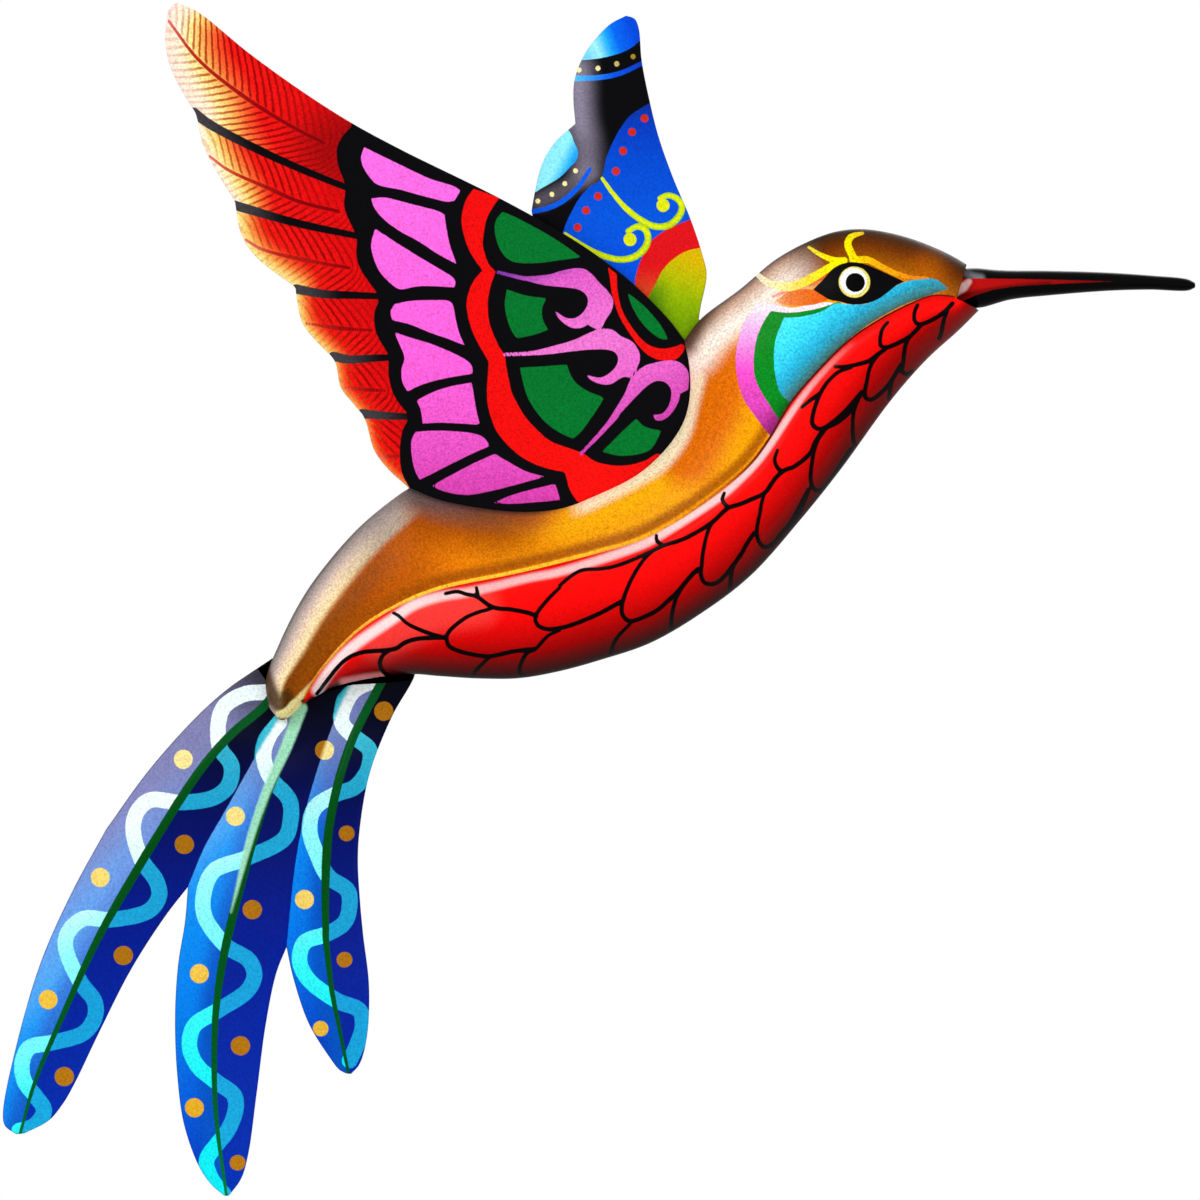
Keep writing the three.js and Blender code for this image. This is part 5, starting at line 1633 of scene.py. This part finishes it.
@dataclass
class GoldBody(PaintedPiece):
    """The pressed gold shell: rump, back, neck and head in one dome with a skirt and folded tabs."""

    rows: int = 330
    columns: int = 100
    tabs: tuple[float, ...] = (0.1, 0.22, 0.76, 0.88)
    narrow_lap: float = 0.55
    eye: tuple[float, float] = (63.3, 79.1)
    eye_radius: float = 3.9
    pupil_radius: float = 2.4

    node = "body_shell"
    enamel = Enamel(speckle=0.33)

    def skin(self) -> Skin:
        """Stretch the dome from the back to an edge that laps under the breast, and fold the tabs.

        Returns:
            The skin.
        """
        upper = joined(BACK, SADDLE, CROWN)
        top, belly = smooth(BREAST_TOP), smooth(BELLY)
        lap = np.minimum(LAP, self.narrow_lap * nearest(top, belly)[0])[:, None]
        lower = np.vstack((smooth(RUMP_TIP)[:-1], top + lap * (beside(top, -1.0) - top)))
        skirt = np.vstack((smooth(RUMP_TIP)[::-1], upper))

        def foot(points: Array, shoulder: Array) -> Array:
            """Skirt along the outer edge, and only the sheet's own thickness where it laps."""
            outer = nearest(points, skirt)[0] < ON_EDGE
            return np.where(outer, passage_base(points), shoulder - SHEET)

        skin = Skin()
        skirted(skin, upper, lower, self.rows, self.columns, crown, foot)
        for share in self.tabs:
            folded_tab(skin, upper, share, -1.0)
        return skin

    def ground(self, points: Array) -> Array:
        """Gold, with brown painted shade under the wing, a cream painted highlight along the back, and dark
        on the crown.

        Args:
            points: places in mm.

        Returns:
            Linear colours.
        """
        x = points[:, 0]
        gold = ramp(x, ((-82, "#6a3404"), (-70, "#984a04"), (-58, "#b45004"), (-46, "#c05c04"),
                        (-35, "#e67c04"), (-20, "#ea8c04"), (0, "#f49e04"), (15, "#f6a404"), (44, "#ffa404")))
        top = smooth(BREAST_TOP)
        low = nearest(points, top)[0]
        # Painted shade: a brown band along the breast's top edge, where the dome falls to the breast.
        gold = over(gold, 0.85 * rise(low, 0.6, 1.6) * rise(low, 4.8, 2.4), "#a05004")
        saddle = nearest(points, smooth(SADDLE))[0]
        # Painted shade in brown under the wing.
        under = rise(saddle, 15, 5) * rise(x, -10, -26) * rise(x, -66, -56)
        gold = over(gold, 0.8 * under, "#9c4404")
        shine = rise(saddle, 10, 4) * rise(x, -18, -6) * rise(x, 24, 14)
        gold = over(gold, 0.8 * shine, "#ffb40c")
        neck = haze(points, ((22, 36), (28.5, 50), (31, 60)), 3.5, 7.5)
        gold = over(gold, 0.85 * neck, "#dc6004")
        # Painted highlight: a cream band along the back, greyer at its outer edge and towards the wing, with
        # a darker line painted along its inner edge.
        back, run = nearest(points, smooth(BACK))
        width = np.interp(run, (0, 0.25, 0.5, 0.75, 1), (4.0, 7.0, 8.0, 8.0, 7.5))
        fold = rise(back / width, 0.9, 1.2) * rise(back / width, 2.2, 1.3) * rise(x, -46, -60)
        gold = over(gold, 0.6 * fold, "#864204")
        band = ramp(back / width, ((0.0, "#4c4442"), (0.1, "#988c88"), (0.35, "#d4bcb2"), (0.55, "#f4d8b8"),
                                   (0.85, "#fce0a8"), (1.0, "#f4cc88")))
        band = over(band, 0.75 * rise(x, -68, -52), "#908480")
        cream = rise(back / width, 1.08, 0.8) * rise(x, -42, -52)
        gold = over(gold, cream, band)
        # Painted shade under the wing, darkest right at the saddle's edge.
        shade = ramp(x, ((-52, "#7c706c"), (-46, "#605450"), (-40, "#70524a"), (-30, "#78482e"),
                         (-20, "#a05420"), (-8, "#d87820")))
        covered = rise(x, -6, -18) * rise(x, -60, -50)
        gold = over(gold, rise(saddle, 7.5, 1.0) * covered, shade)
        gold = over(gold, 0.7 * rise(saddle, 1.5, 0.0) * covered, "#2c282c")
        light, run = nearest(points, smooth(SADDLE_LIGHT))
        gold = over(gold, 0.92 * rise(light, 3.6, 1.0) * rise(run, 0.0, 0.12), "#fff0c8")
        head = nearest(points, smooth(CROWN))[0]
        # Painted highlight: pale cream along the crown's edge at the back of the neck; forward of it the
        # crown is dark.
        nape_highlight = ramp(head, ((0, "#584440"), (0.7, "#a08070"), (1.6, "#cca48c"), (3.2, "#e8ccb8"),
                           (5.5, "#fff0e2"), (8.5, "#ffecdc"), (13.0, "#fcd0a0")))
        top_tint = ramp(head, ((0, "#201004"), (1.2, "#482404"), (4.0, "#743404"), (7.5, "#9c5404"),
                               (10.5, "#d07806"), (16.0, "#e08c10")))
        forward = rise(x + 0.3 * (points[:, 1] - 85), 42, 57)
        dome = over(nape_highlight, forward, top_tint)
        reach = rise(x - 0.4 * (points[:, 1] - 66), 17, 21) * rise(head - 2.5 * forward, 12.5, 6.5)
        gold = over(gold, reach, dome)
        # Painted shade in the corner where the far wing goes into the neck.
        nook_shade = haze(points, ((21.5, 64), (25, 69.3), (31, 74)), 0.4, 4.0)
        gold = over(gold, 0.9 * nook_shade * rise(x, 33, 24), "#462c22")
        gold = over(gold, 0.55 * spot(points, (81.5, 82), 7.5), "#cc6806")
        gold = over(gold, 0.95 * spot(points, (93.5, 83), 5.5), "#281004")
        end = haze(points, ((-84, -18), (-82, -23), (-79.8, -26.3), (-78.2, -24.2)), 0.9, 2.0)
        gold = over(gold, 0.92 * end, "#4c2e08")
        return gold

    def coats(self, points: Array) -> list[Coat]:
        """Cheek in three colours, ear patch, the black almond and its eye, horns, and edge lines of painted
        light and shade.

        Args:
            points: places in mm.

        Returns:
            The layers.
        """
        top = smooth(BREAST_TOP)
        low = nearest(points, top)[0]
        x, z = points.T
        pink = ramp(z, ((42, "#b83090"), (48, "#dc44b8"), (57, "#fa50cc"), (66, "#f4a8ec"), (73, "#fff0fa")))
        # The cheeks darken towards the breast's edge: painted shade in the groove there.
        pink = over(pink, 0.5 * rise(low, 5, 1), "#6a1450")
        cheek = ramp(low, ((0.0, "#4a6058"), (2.0, "#3a8c98"), (4.5, "#28b0d8"), (8.0, "#34d4f8"),
                           (14.0, "#48ecff")))
        ear = ramp(x, ((43, "#fab48c"), (47, "#f08040"), (52, "#ec6c14"), (57, "#f05c10")))
        horn = ramp(x, ((39, "#fff4d8"), (45, "#fff0a0"), (51, "#ffe040"), (58, "#fff400"), (62, "#fff000"),
                         (68, "#ffb808"), (78, "#f08c18")))
        glow = smooth(((43, 75.5), (48, 77.6), (54, 79.6), (58, 82.5)))
        horns = curves(HORNS)
        widths = ((0.8, 1.6, 1.9, 1.8), (0.7, 1.3, 1.8), (1.3, 2.4, 2.1, 1.6), (1.9, 1.5, 1.2, 0.6))
        brush = np.max([stroked(points, [line], *size) for line, size in zip(horns, widths)], axis=0)
        rump = smooth(((-80, -28.6), (-77.6, -28), (-75, -25.8), (-72.6, -22.9), (-71, -20.8)))
        return [
            Coat("rump_light", stroked(points, [rump], 1.8, 3.6, 3.0, 2.0), linear("#fff0a4"),
                 Border.SPRAYED, cover=0.9),
            Coat("pink_cheek", filled(points, shapes([PINK_CHEEK])), pink),
            Coat("green_cheek", filled(points, shapes([GREEN_CHEEK])), over(linear("#0a8a20"),
                 0.6 * rise(low, 4, 0), "#06400c")),
            Coat("cheek", filled(points, shapes([CHEEK])), cheek),
            Coat("ear", filled(points, shapes([EAR])), ear),
            Coat("ear_glow", stroked(points, [glow], 0.5, 1.3, 1.3, 0.8), linear("#f05014"),
                 Border.SPRAYED, cover=0.75),
            Coat("horns", brush, horn),
            Coat("almond", filled(points, shapes([ALMOND])), linear("#050406")),
            Coat("eye_rim", dotted(points, [self.eye], self.eye_radius), linear("#f0e070")),
            Coat("eye_white", dotted(points, [(self.eye[0] - 0.25, self.eye[1] + 0.2)],
                                     self.eye_radius - 0.55), linear("#ffffff")),
            Coat("pupil", dotted(points, [(self.eye[0] + 0.2, self.eye[1] - 0.1)], self.pupil_radius),
                 linear("#000000")),
            # A line along the breast's top edge: a yellow painted highlight on the left, turning to dark red
            # painted shade towards the head.
            Coat("breast_edge_light_and_shade", stroked(points, [top], 1.0, 1.8, 1.8, 1.0, 0.8), ramp(x, ((-75, "#ffd040"),
                 (-50, "#ffe040"), (-10, "#ffd030"), (15, "#ffb020"), (32, "#d07010"), (42, "#602018"),
                 (85, "#701008")))),
        ]


@dataclass
class RedBreast(PaintedPiece):
    """The red panel from beak to rump: it lies on the gold shell along its top edge and swells past it."""

    swell: float = BREAST_SWELL
    shoulder: float = BREAST_SHOULDER
    rows: int = 380
    columns: int = 84
    tabs: tuple[float, ...] = (0.24, 0.46, 0.66, 0.84)
    line_width: float = 1.15

    node = "breast_panel"
    enamel = Enamel(speckle=0.14, roughness=0.26)

    def depth(self, points: Array) -> Array:
        """Depth of the panel: one step over the dome, and a quarter sine of swell past the shoulder.

        Args:
            points: places in mm.

        Returns:
            Depths in mm.
        """
        from_top = np.minimum(1, nearest(points, smooth(BREAST_TOP, DOME_STEP))[0] / self.shoulder)
        from_belly = np.minimum(1, nearest(points, smooth(BELLY, DOME_STEP))[0] / self.shoulder)
        return crown(points) + BREAST_STEP + self.swell * np.sin(from_top * np.pi / 2) * from_belly

    def skin(self) -> Skin:
        """Stretch the panel between its top edge and the belly, with a lip, a skirt and folded tabs.

        Returns:
            The skin.
        """
        top, belly = smooth(BREAST_TOP), smooth(BELLY)

        def foot(points: Array, shoulder: Array) -> Array:
            """Skirt along the belly, and a lip that ends just over the gold along the top."""
            outer = nearest(points, belly)[0] < ON_EDGE
            return np.where(outer, passage_base(points), shoulder - BREAST_STEP + GAP / 2)

        skin = Skin()
        skirted(skin, top, belly, self.rows, self.columns, self.depth, foot)
        for share in self.tabs:
            folded_tab(skin, belly, share, 1.0)
        return skin

    def ground(self, points: Array) -> Array:
        """Bright red at the top, in painted shade to dark red and black at the belly, with a pale painted
        highlight line.

        Args:
            points: places in mm.

        Returns:
            Linear colours.
        """
        above = nearest(points, smooth(BREAST_TOP))[0]
        below = nearest(points, smooth(BELLY))[0]
        across = above / np.maximum(above + below, 1e-6)
        # Painted shade: dark red to black towards the belly, and darker still on the throat's lower half.
        red = ramp(across, ((0, "#e80a08"), (0.15, "#ff100c"), (0.4, "#fa0606"), (0.6, "#d40404"),
                            (0.78, "#9c0202"), (0.92, "#500101"), (1.0, "#100000")))
        red = over(red, 0.7 * rise(points[:, 0], 48, 88) * rise(across, 0.25, 0.65), "#7a0202")
        line, run = nearest(points, smooth(BREAST_LIGHT))
        wide = np.interp(run, (0, 0.2, 0.35, 0.55, 0.75, 1), (2.0, 1.9, 1.5, 1.7, 1.3, 0.8))
        power = np.interp(run, (0, 0.18, 0.3, 0.42, 0.6, 0.8, 0.95), (0.95, 0.9, 0.6, 0.7, 0.85, 0.7, 0))
        light = power * rise(line / wide, 1.0, 0.25)
        # Painted highlight: a soft pink haze below the highlight line on the left.
        soft_highlight = haze(points, ((-55, -10), (-42, -4), (-30, -1.5)), 1.5, 6.0)
        red = over(red, 0.25 * soft_highlight, "#ff7068")
        tail_light = haze(points, ((-64, -20.4), (-59, -19.4), (-54, -18.8)), 0.2, 1.3)
        red = over(red, 0.6 * tail_light, "#ff9a9a")
        return over(red, light, "#ffe6e6")

    def coats(self, points: Array) -> list[Coat]:
        """The scales' outlines, drawn in black with a pointed brush.

        Args:
            points: places in mm.

        Returns:
            The layers.
        """
        rows = curves((*SCALE_ROWS, *SCALE_ARCS, *THROAT_SCALES))
        short = curves((*SCALE_HOOKS, *BELLY_SCALES))
        lines = np.maximum(stroked(points, rows, self.line_width * 0.8, self.line_width, self.line_width),
                           stroked(points, short, self.line_width * 0.75, self.line_width))
        return [Coat("scales", lines, linear("#080203"))]


@dataclass
class Beak(PaintedPiece):
    """A straight spike with a flat rear and a half-round front, with a tang inside the head."""

    height: float = 6.0
    tip_height: float = 2.0
    edge_thickness: float = 0.02
    taper: float = 0.6
    tang: tuple[float, float] = (70.5, 87.0)
    tang_width: float = 5.5
    tang_thickness: float = 1.5
    rows: int = 200
    columns: int = 36

    node = "beak"
    enamel = Enamel(speckle=0.1, roughness=0.24)

    def skin(self) -> Skin:
        """Sweep a half ellipse from the root to the tip, and add the tang behind it.

        At the angle t round the front, the section lies (1 - cos t) / 2 of the way from the upper edge to
        the lower one, at height sin t over the flat rear.

        Returns:
            The skin.
        """
        shares = np.linspace(0, 1, self.rows + 1)
        upper, lower = at_shares(smooth(BEAK_TOP), shares), at_shares(smooth(BEAK_BOTTOM), shares)
        turn = np.linspace(0, np.pi, self.columns + 1)
        across = ((1 - np.cos(turn)) / 2)[None, :, None]
        plane = upper[:, None] + across * (lower - upper)[:, None]
        tall = self.height + (self.tip_height - self.height) * shares**self.taper
        skin = Skin()
        front = INNER_SHEET + self.edge_thickness + tall[:, None] * np.sin(turn)[None, :]
        skin.sheet(placed(plane, front), [], placed(plane, INNER_SHEET))
        middle = (BEAK_TOP[0][1] + BEAK_BOTTOM[0][1]) / 2
        across = middle + self.tang_width * np.linspace(-0.5, 0.5, 6)
        slab = np.stack(np.meshgrid(np.linspace(*self.tang, 12), across, indexing="ij"), axis=-1)
        skin.sheet(placed(slab, INNER_SHEET + self.tang_thickness), [], placed(slab, INNER_SHEET))
        return skin

    def ground(self, points: Array) -> Array:
        """Black, with a grey sheen near the root."""
        sheen = haze(points, ((90.5, 82), (93, 80.8), (95, 80.4)), 0.2, 1.4)
        return over(linear("#060506"), 0.7 * sheen, "#8a8a90")

    def coats(self, points: Array) -> list[Coat]:
        """The red wedge between the two black halves, and the light on it.

        Args:
            points: places in mm.

        Returns:
            The layers.
        """
        wedge = np.array(((86, 80), (90, 80.2), (96, 80.2), (104, 80.1), (114, 79.9), (128, 79.5),
                          (114, 78.9), (104, 78.3), (98, 77.4), (93.5, 76), (90.5, 74.6), (87, 74.5)))
        red = ramp(points[:, 0], ((86, "#d01010"), (96, "#bc0e0e"), (110, "#a00c0c"), (128, "#700808")))
        shade = haze(points, ((89, 75.6), (95, 76.9), (102, 78), (112, 78.9)), 0.2, 0.9)
        red = over(red, 0.7 * shade, "#5a0404")
        gleam = stroked(points, [smooth(((89, 76.6), (90.5, 77.9), (92, 79.4)))], 1.4, 2.2, 1.4)
        return [
            Coat("wedge", filled(points, [wedge]), red),
            Coat("gleam", gleam, linear("#ffd8d4"), Border.SPRAYED, cover=0.85),
        ]


@dataclass(frozen=True)
class RearEnamel:
    """Dark rust-proof paint on the sides towards the wall, sprayed once: a dull, slightly cloudy black.

    Attributes:
        colour: the paint.
        cloud: the paint where it lies thin.
        cloud_size: size of the clouds in millimetres.
        grain_size: size of the spray's grain in millimetres.
        roughness: least and greatest roughness.
        depth: height of the grain in millimetres.
    """

    colour: str = "#1b1a1d"
    cloud: str = "#2b2a2e"
    cloud_size: float = 9.0
    grain_size: float = 0.6
    roughness: tuple[float, float] = (0.45, 0.62)
    depth: float = 0.03

    def material(self, name: str) -> Material:
        """Build the paint: clouds of two near blacks, and a fine sprayed grain.

        Args:
            name: the material's name.

        Returns:
            The material.
        """
        material, tree = new_material(name)
        place = add(tree, "TexCoord").outputs["Object"]
        clouds = add(tree, "TexNoise", {"Vector": place, "Scale": 1000 / self.cloud_size, "Detail": 4.0})
        grain = add(tree, "TexNoise", {"Vector": place, "Scale": 1000 / self.grain_size, "Detail": 2.0})
        mix = add(tree, "Mix", {0: clouds.outputs[0], 6: (*linear(self.colour), 1.0),
                                7: (*linear(self.cloud), 1.0)}, data_type="RGBA")
        rough = add(tree, "MapRange", {"Value": clouds.outputs[0], "To Min": self.roughness[0],
                                       "To Max": self.roughness[1]})
        finish_nodes(tree, grain.outputs[0], self.depth, {
            "Base Color": mix.outputs[2], "Roughness": rough.outputs[0], "Specular IOR Level": 0.3})
        return material


@dataclass(frozen=True)
class BareMetal:
    """Bare or plated metal, as rolled or as headed: faint clouds in brightness and in roughness.

    Attributes:
        colour: reflection of the clean metal.
        dull: reflection where it has dulled.
        roughness: mean roughness.
        patch: size of the clouds in millimetres, the spangle of zinc or the flow marks of a headed rivet.
        stretch: how much longer the marks are along x than along z, for rolled strip.
        depth: height of the marks in millimetres.
    """

    colour: str
    dull: str
    roughness: float
    patch: float
    stretch: float = 1.0
    depth: float = 0.025

    def material(self, name: str) -> Material:
        """Build the metal: clouds or marks in its brightness, its roughness and its relief.

        Args:
            name: the material's name.

        Returns:
            The material.
        """
        material, tree = new_material(name)
        place = add(tree, "TexCoord").outputs["Object"]
        size = 1000 / self.patch
        drawn = add(tree, "Mapping", {"Vector": place, "Scale": (size, size, size / self.stretch)})
        marks = add(tree, "TexNoise", {"Vector": drawn.outputs[0], "Scale": 1.0, "Detail": 5.0})
        share = add(tree, "MapRange", {"Value": marks.outputs[0], "From Min": 0.35, "From Max": 0.65})
        mix = add(tree, "Mix", {0: share.outputs[0], 6: (*linear(self.colour), 1.0),
                                7: (*linear(self.dull), 1.0)}, data_type="RGBA")
        rough = add(tree, "MapRange", {"Value": marks.outputs[0], "To Min": self.roughness - 0.08,
                                       "To Max": self.roughness + 0.12})
        finish_nodes(tree, marks.outputs[0], self.depth, {
            "Base Color": mix.outputs[2], "Metallic": 1.0, "Roughness": rough.outputs[0]})
        return material


@dataclass(frozen=True)
class Hardware:
    """Back plate, hanging strap and rivets: CAD pieces that keep their shape and get their finish here."""

    plate: RearEnamel = RearEnamel()
    strap: BareMetal = BareMetal("#b9bcbf", "#8f9499", 0.38, 6.0, 3.0)
    rivet: BareMetal = BareMetal("#c9cacb", "#a4a6a8", 0.34, 1.2)

    def dress(self) -> None:
        """Give each carried-over node its material."""
        finishes = {"back_plate": self.plate.material("back_plate_black_enamel"),
                    "hanger_strap": self.strap.material("zinc_plated_steel")}
        aluminium = self.rivet.material("mill_aluminium")
        for name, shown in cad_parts.items():
            finish = finishes.get(name, aluminium if "_rivet_" in name else None)
            if finish is not None:
                shown.data.materials.clear()
                shown.data.materials.append(finish)
                log.info("%s: %s", name, finish.name)


@dataclass(frozen=True)
class Studio:
    """Camera, lamps, white surroundings and a pale floor below the bird.

    Attributes:
        middle: middle of the picture in the frame, in metres.
        width: width of the picture at the bird, in metres.
        distance: distance of the camera. It is long, because the photograph shows no perspective.
        sensor: width of the camera's sensor in millimetres.
        floor_drop: how far the floor lies below the bird's lowest point.
        floor_half: half the width of the floor, in metres.
        lamps: each lamp's name, place, width in metres and power in watts.
    """

    middle: tuple[float, float] = (-NAIL[0] / 1000, -NAIL[1] / 1000)
    width: float = 0.3
    distance: float = 3.3
    sensor: float = 36.0
    floor_drop: float = 0.06
    floor_half: float = 1.2
    lamps: tuple[tuple[str, tuple[float, float, float], float, float], ...] = (
        ("key", (-0.9, -1.5, 0.9), 0.9, 19.0),
        ("fill", (1.2, -1.6, 0.2), 1.2, 9.0),
        ("rear", (0.3, 1.2, 0.8), 0.8, 6.0),
    )

    def camera(self) -> None:
        """Set the camera square to the wall."""
        lens = bpy.data.cameras.new("camera")
        lens.sensor_width = self.sensor
        lens.lens = self.sensor * self.distance / self.width
        lens.clip_end = 20
        holder = bpy.data.objects.new("camera", lens)
        holder.location = (self.middle[0], -self.distance, self.middle[1])
        holder.rotation_euler = (math.pi / 2, 0, 0)
        bpy.context.scene.collection.objects.link(holder)
        bpy.context.scene.camera = holder

    def lamp(self, name: str, place: tuple[float, float, float], size: float, power: float) -> None:
        """Add a square soft lamp that faces the middle of the bird.

        Args:
            name: what it is for.
            place: where it is, in metres.
            size: its width in metres.
            power: its power in watts.
        """
        light = bpy.data.lights.new(name, "AREA")
        light.size = size
        light.energy = power
        holder = bpy.data.objects.new(name, light)
        holder.location = place
        aim = Vector((self.middle[0], 0, self.middle[1])) - Vector(place)
        holder.rotation_euler = aim.to_track_quat("-Z", "Y").to_euler()
        bpy.context.scene.collection.objects.link(holder)

    def surroundings(self, level: float = 0.42) -> None:
        """Light the bird evenly, and show white to the camera and to mirror and glass rays.

        Args:
            level: strength of the light from all round.
        """
        world = bpy.data.worlds.new("white_studio")
        bpy.context.scene.world = world
        world.use_nodes = True
        tree = world.node_tree
        tree.nodes.clear()
        rays = add(tree, "LightPath")
        seen = rays.outputs["Is Camera Ray"]
        for kind in ("Is Glossy Ray", "Is Transmission Ray"):
            seen = add(tree, "Math", {0: seen, 1: rays.outputs[kind]}, operation="MAXIMUM").outputs[0]
        strength = add(tree, "MapRange", {"Value": seen, "To Min": level, "To Max": 1.0})
        sky = add(tree, "Background", {"Color": (1.0, 1.0, 1.0, 1.0), "Strength": strength.outputs[0]})
        add(tree, "OutputWorld", {"Surface": sky.outputs[0]})

    def floor(self) -> None:
        """Lay a floor below the bird, a grid of quads: matt white paper with a faint tooth of fibres."""
        even = np.linspace(-self.floor_half, self.floor_half, 8)
        xs, ys = np.meshgrid(even + self.middle[0], even, indexing="ij")
        low = np.full_like(xs, CAD_BOX[0][2] - self.floor_drop)
        skin = Skin()
        skin.grid(np.stack((xs, ys, low), axis=-1), Face.FRONT)
        ground = skin.finish("floor")
        material, tree = new_material("matt_white_paper")
        place = add(tree, "TexCoord").outputs["Object"]
        fibres = add(tree, "TexNoise", {"Vector": place, "Scale": 900.0, "Detail": 2.0})
        finish_nodes(tree, fibres.outputs[0], 0.01, {
            "Base Color": (*linear("#efeeec"), 1.0), "Roughness": 0.8})
        ground.data.materials.append(material)

    def build(self) -> None:
        """Set up the whole studio."""
        self.camera()
        for lamp in self.lamps:
            self.lamp(*lamp)
        self.surroundings()
        self.floor()
        bpy.context.scene.view_settings.view_transform = "Standard"
        log.info("studio ready")


def main() -> None:
    """Build the pieces from the wall outwards, then the studio."""
    rear = RearEnamel().material("rear_black_enamel")
    Hardware().dress()
    for piece in (TailFan(), FarWing(), NearWing(), Beak(), GoldBody(), RedBreast()):
        piece.build(rear)
    Studio().build()


if __name__ == "__main__":
    main()
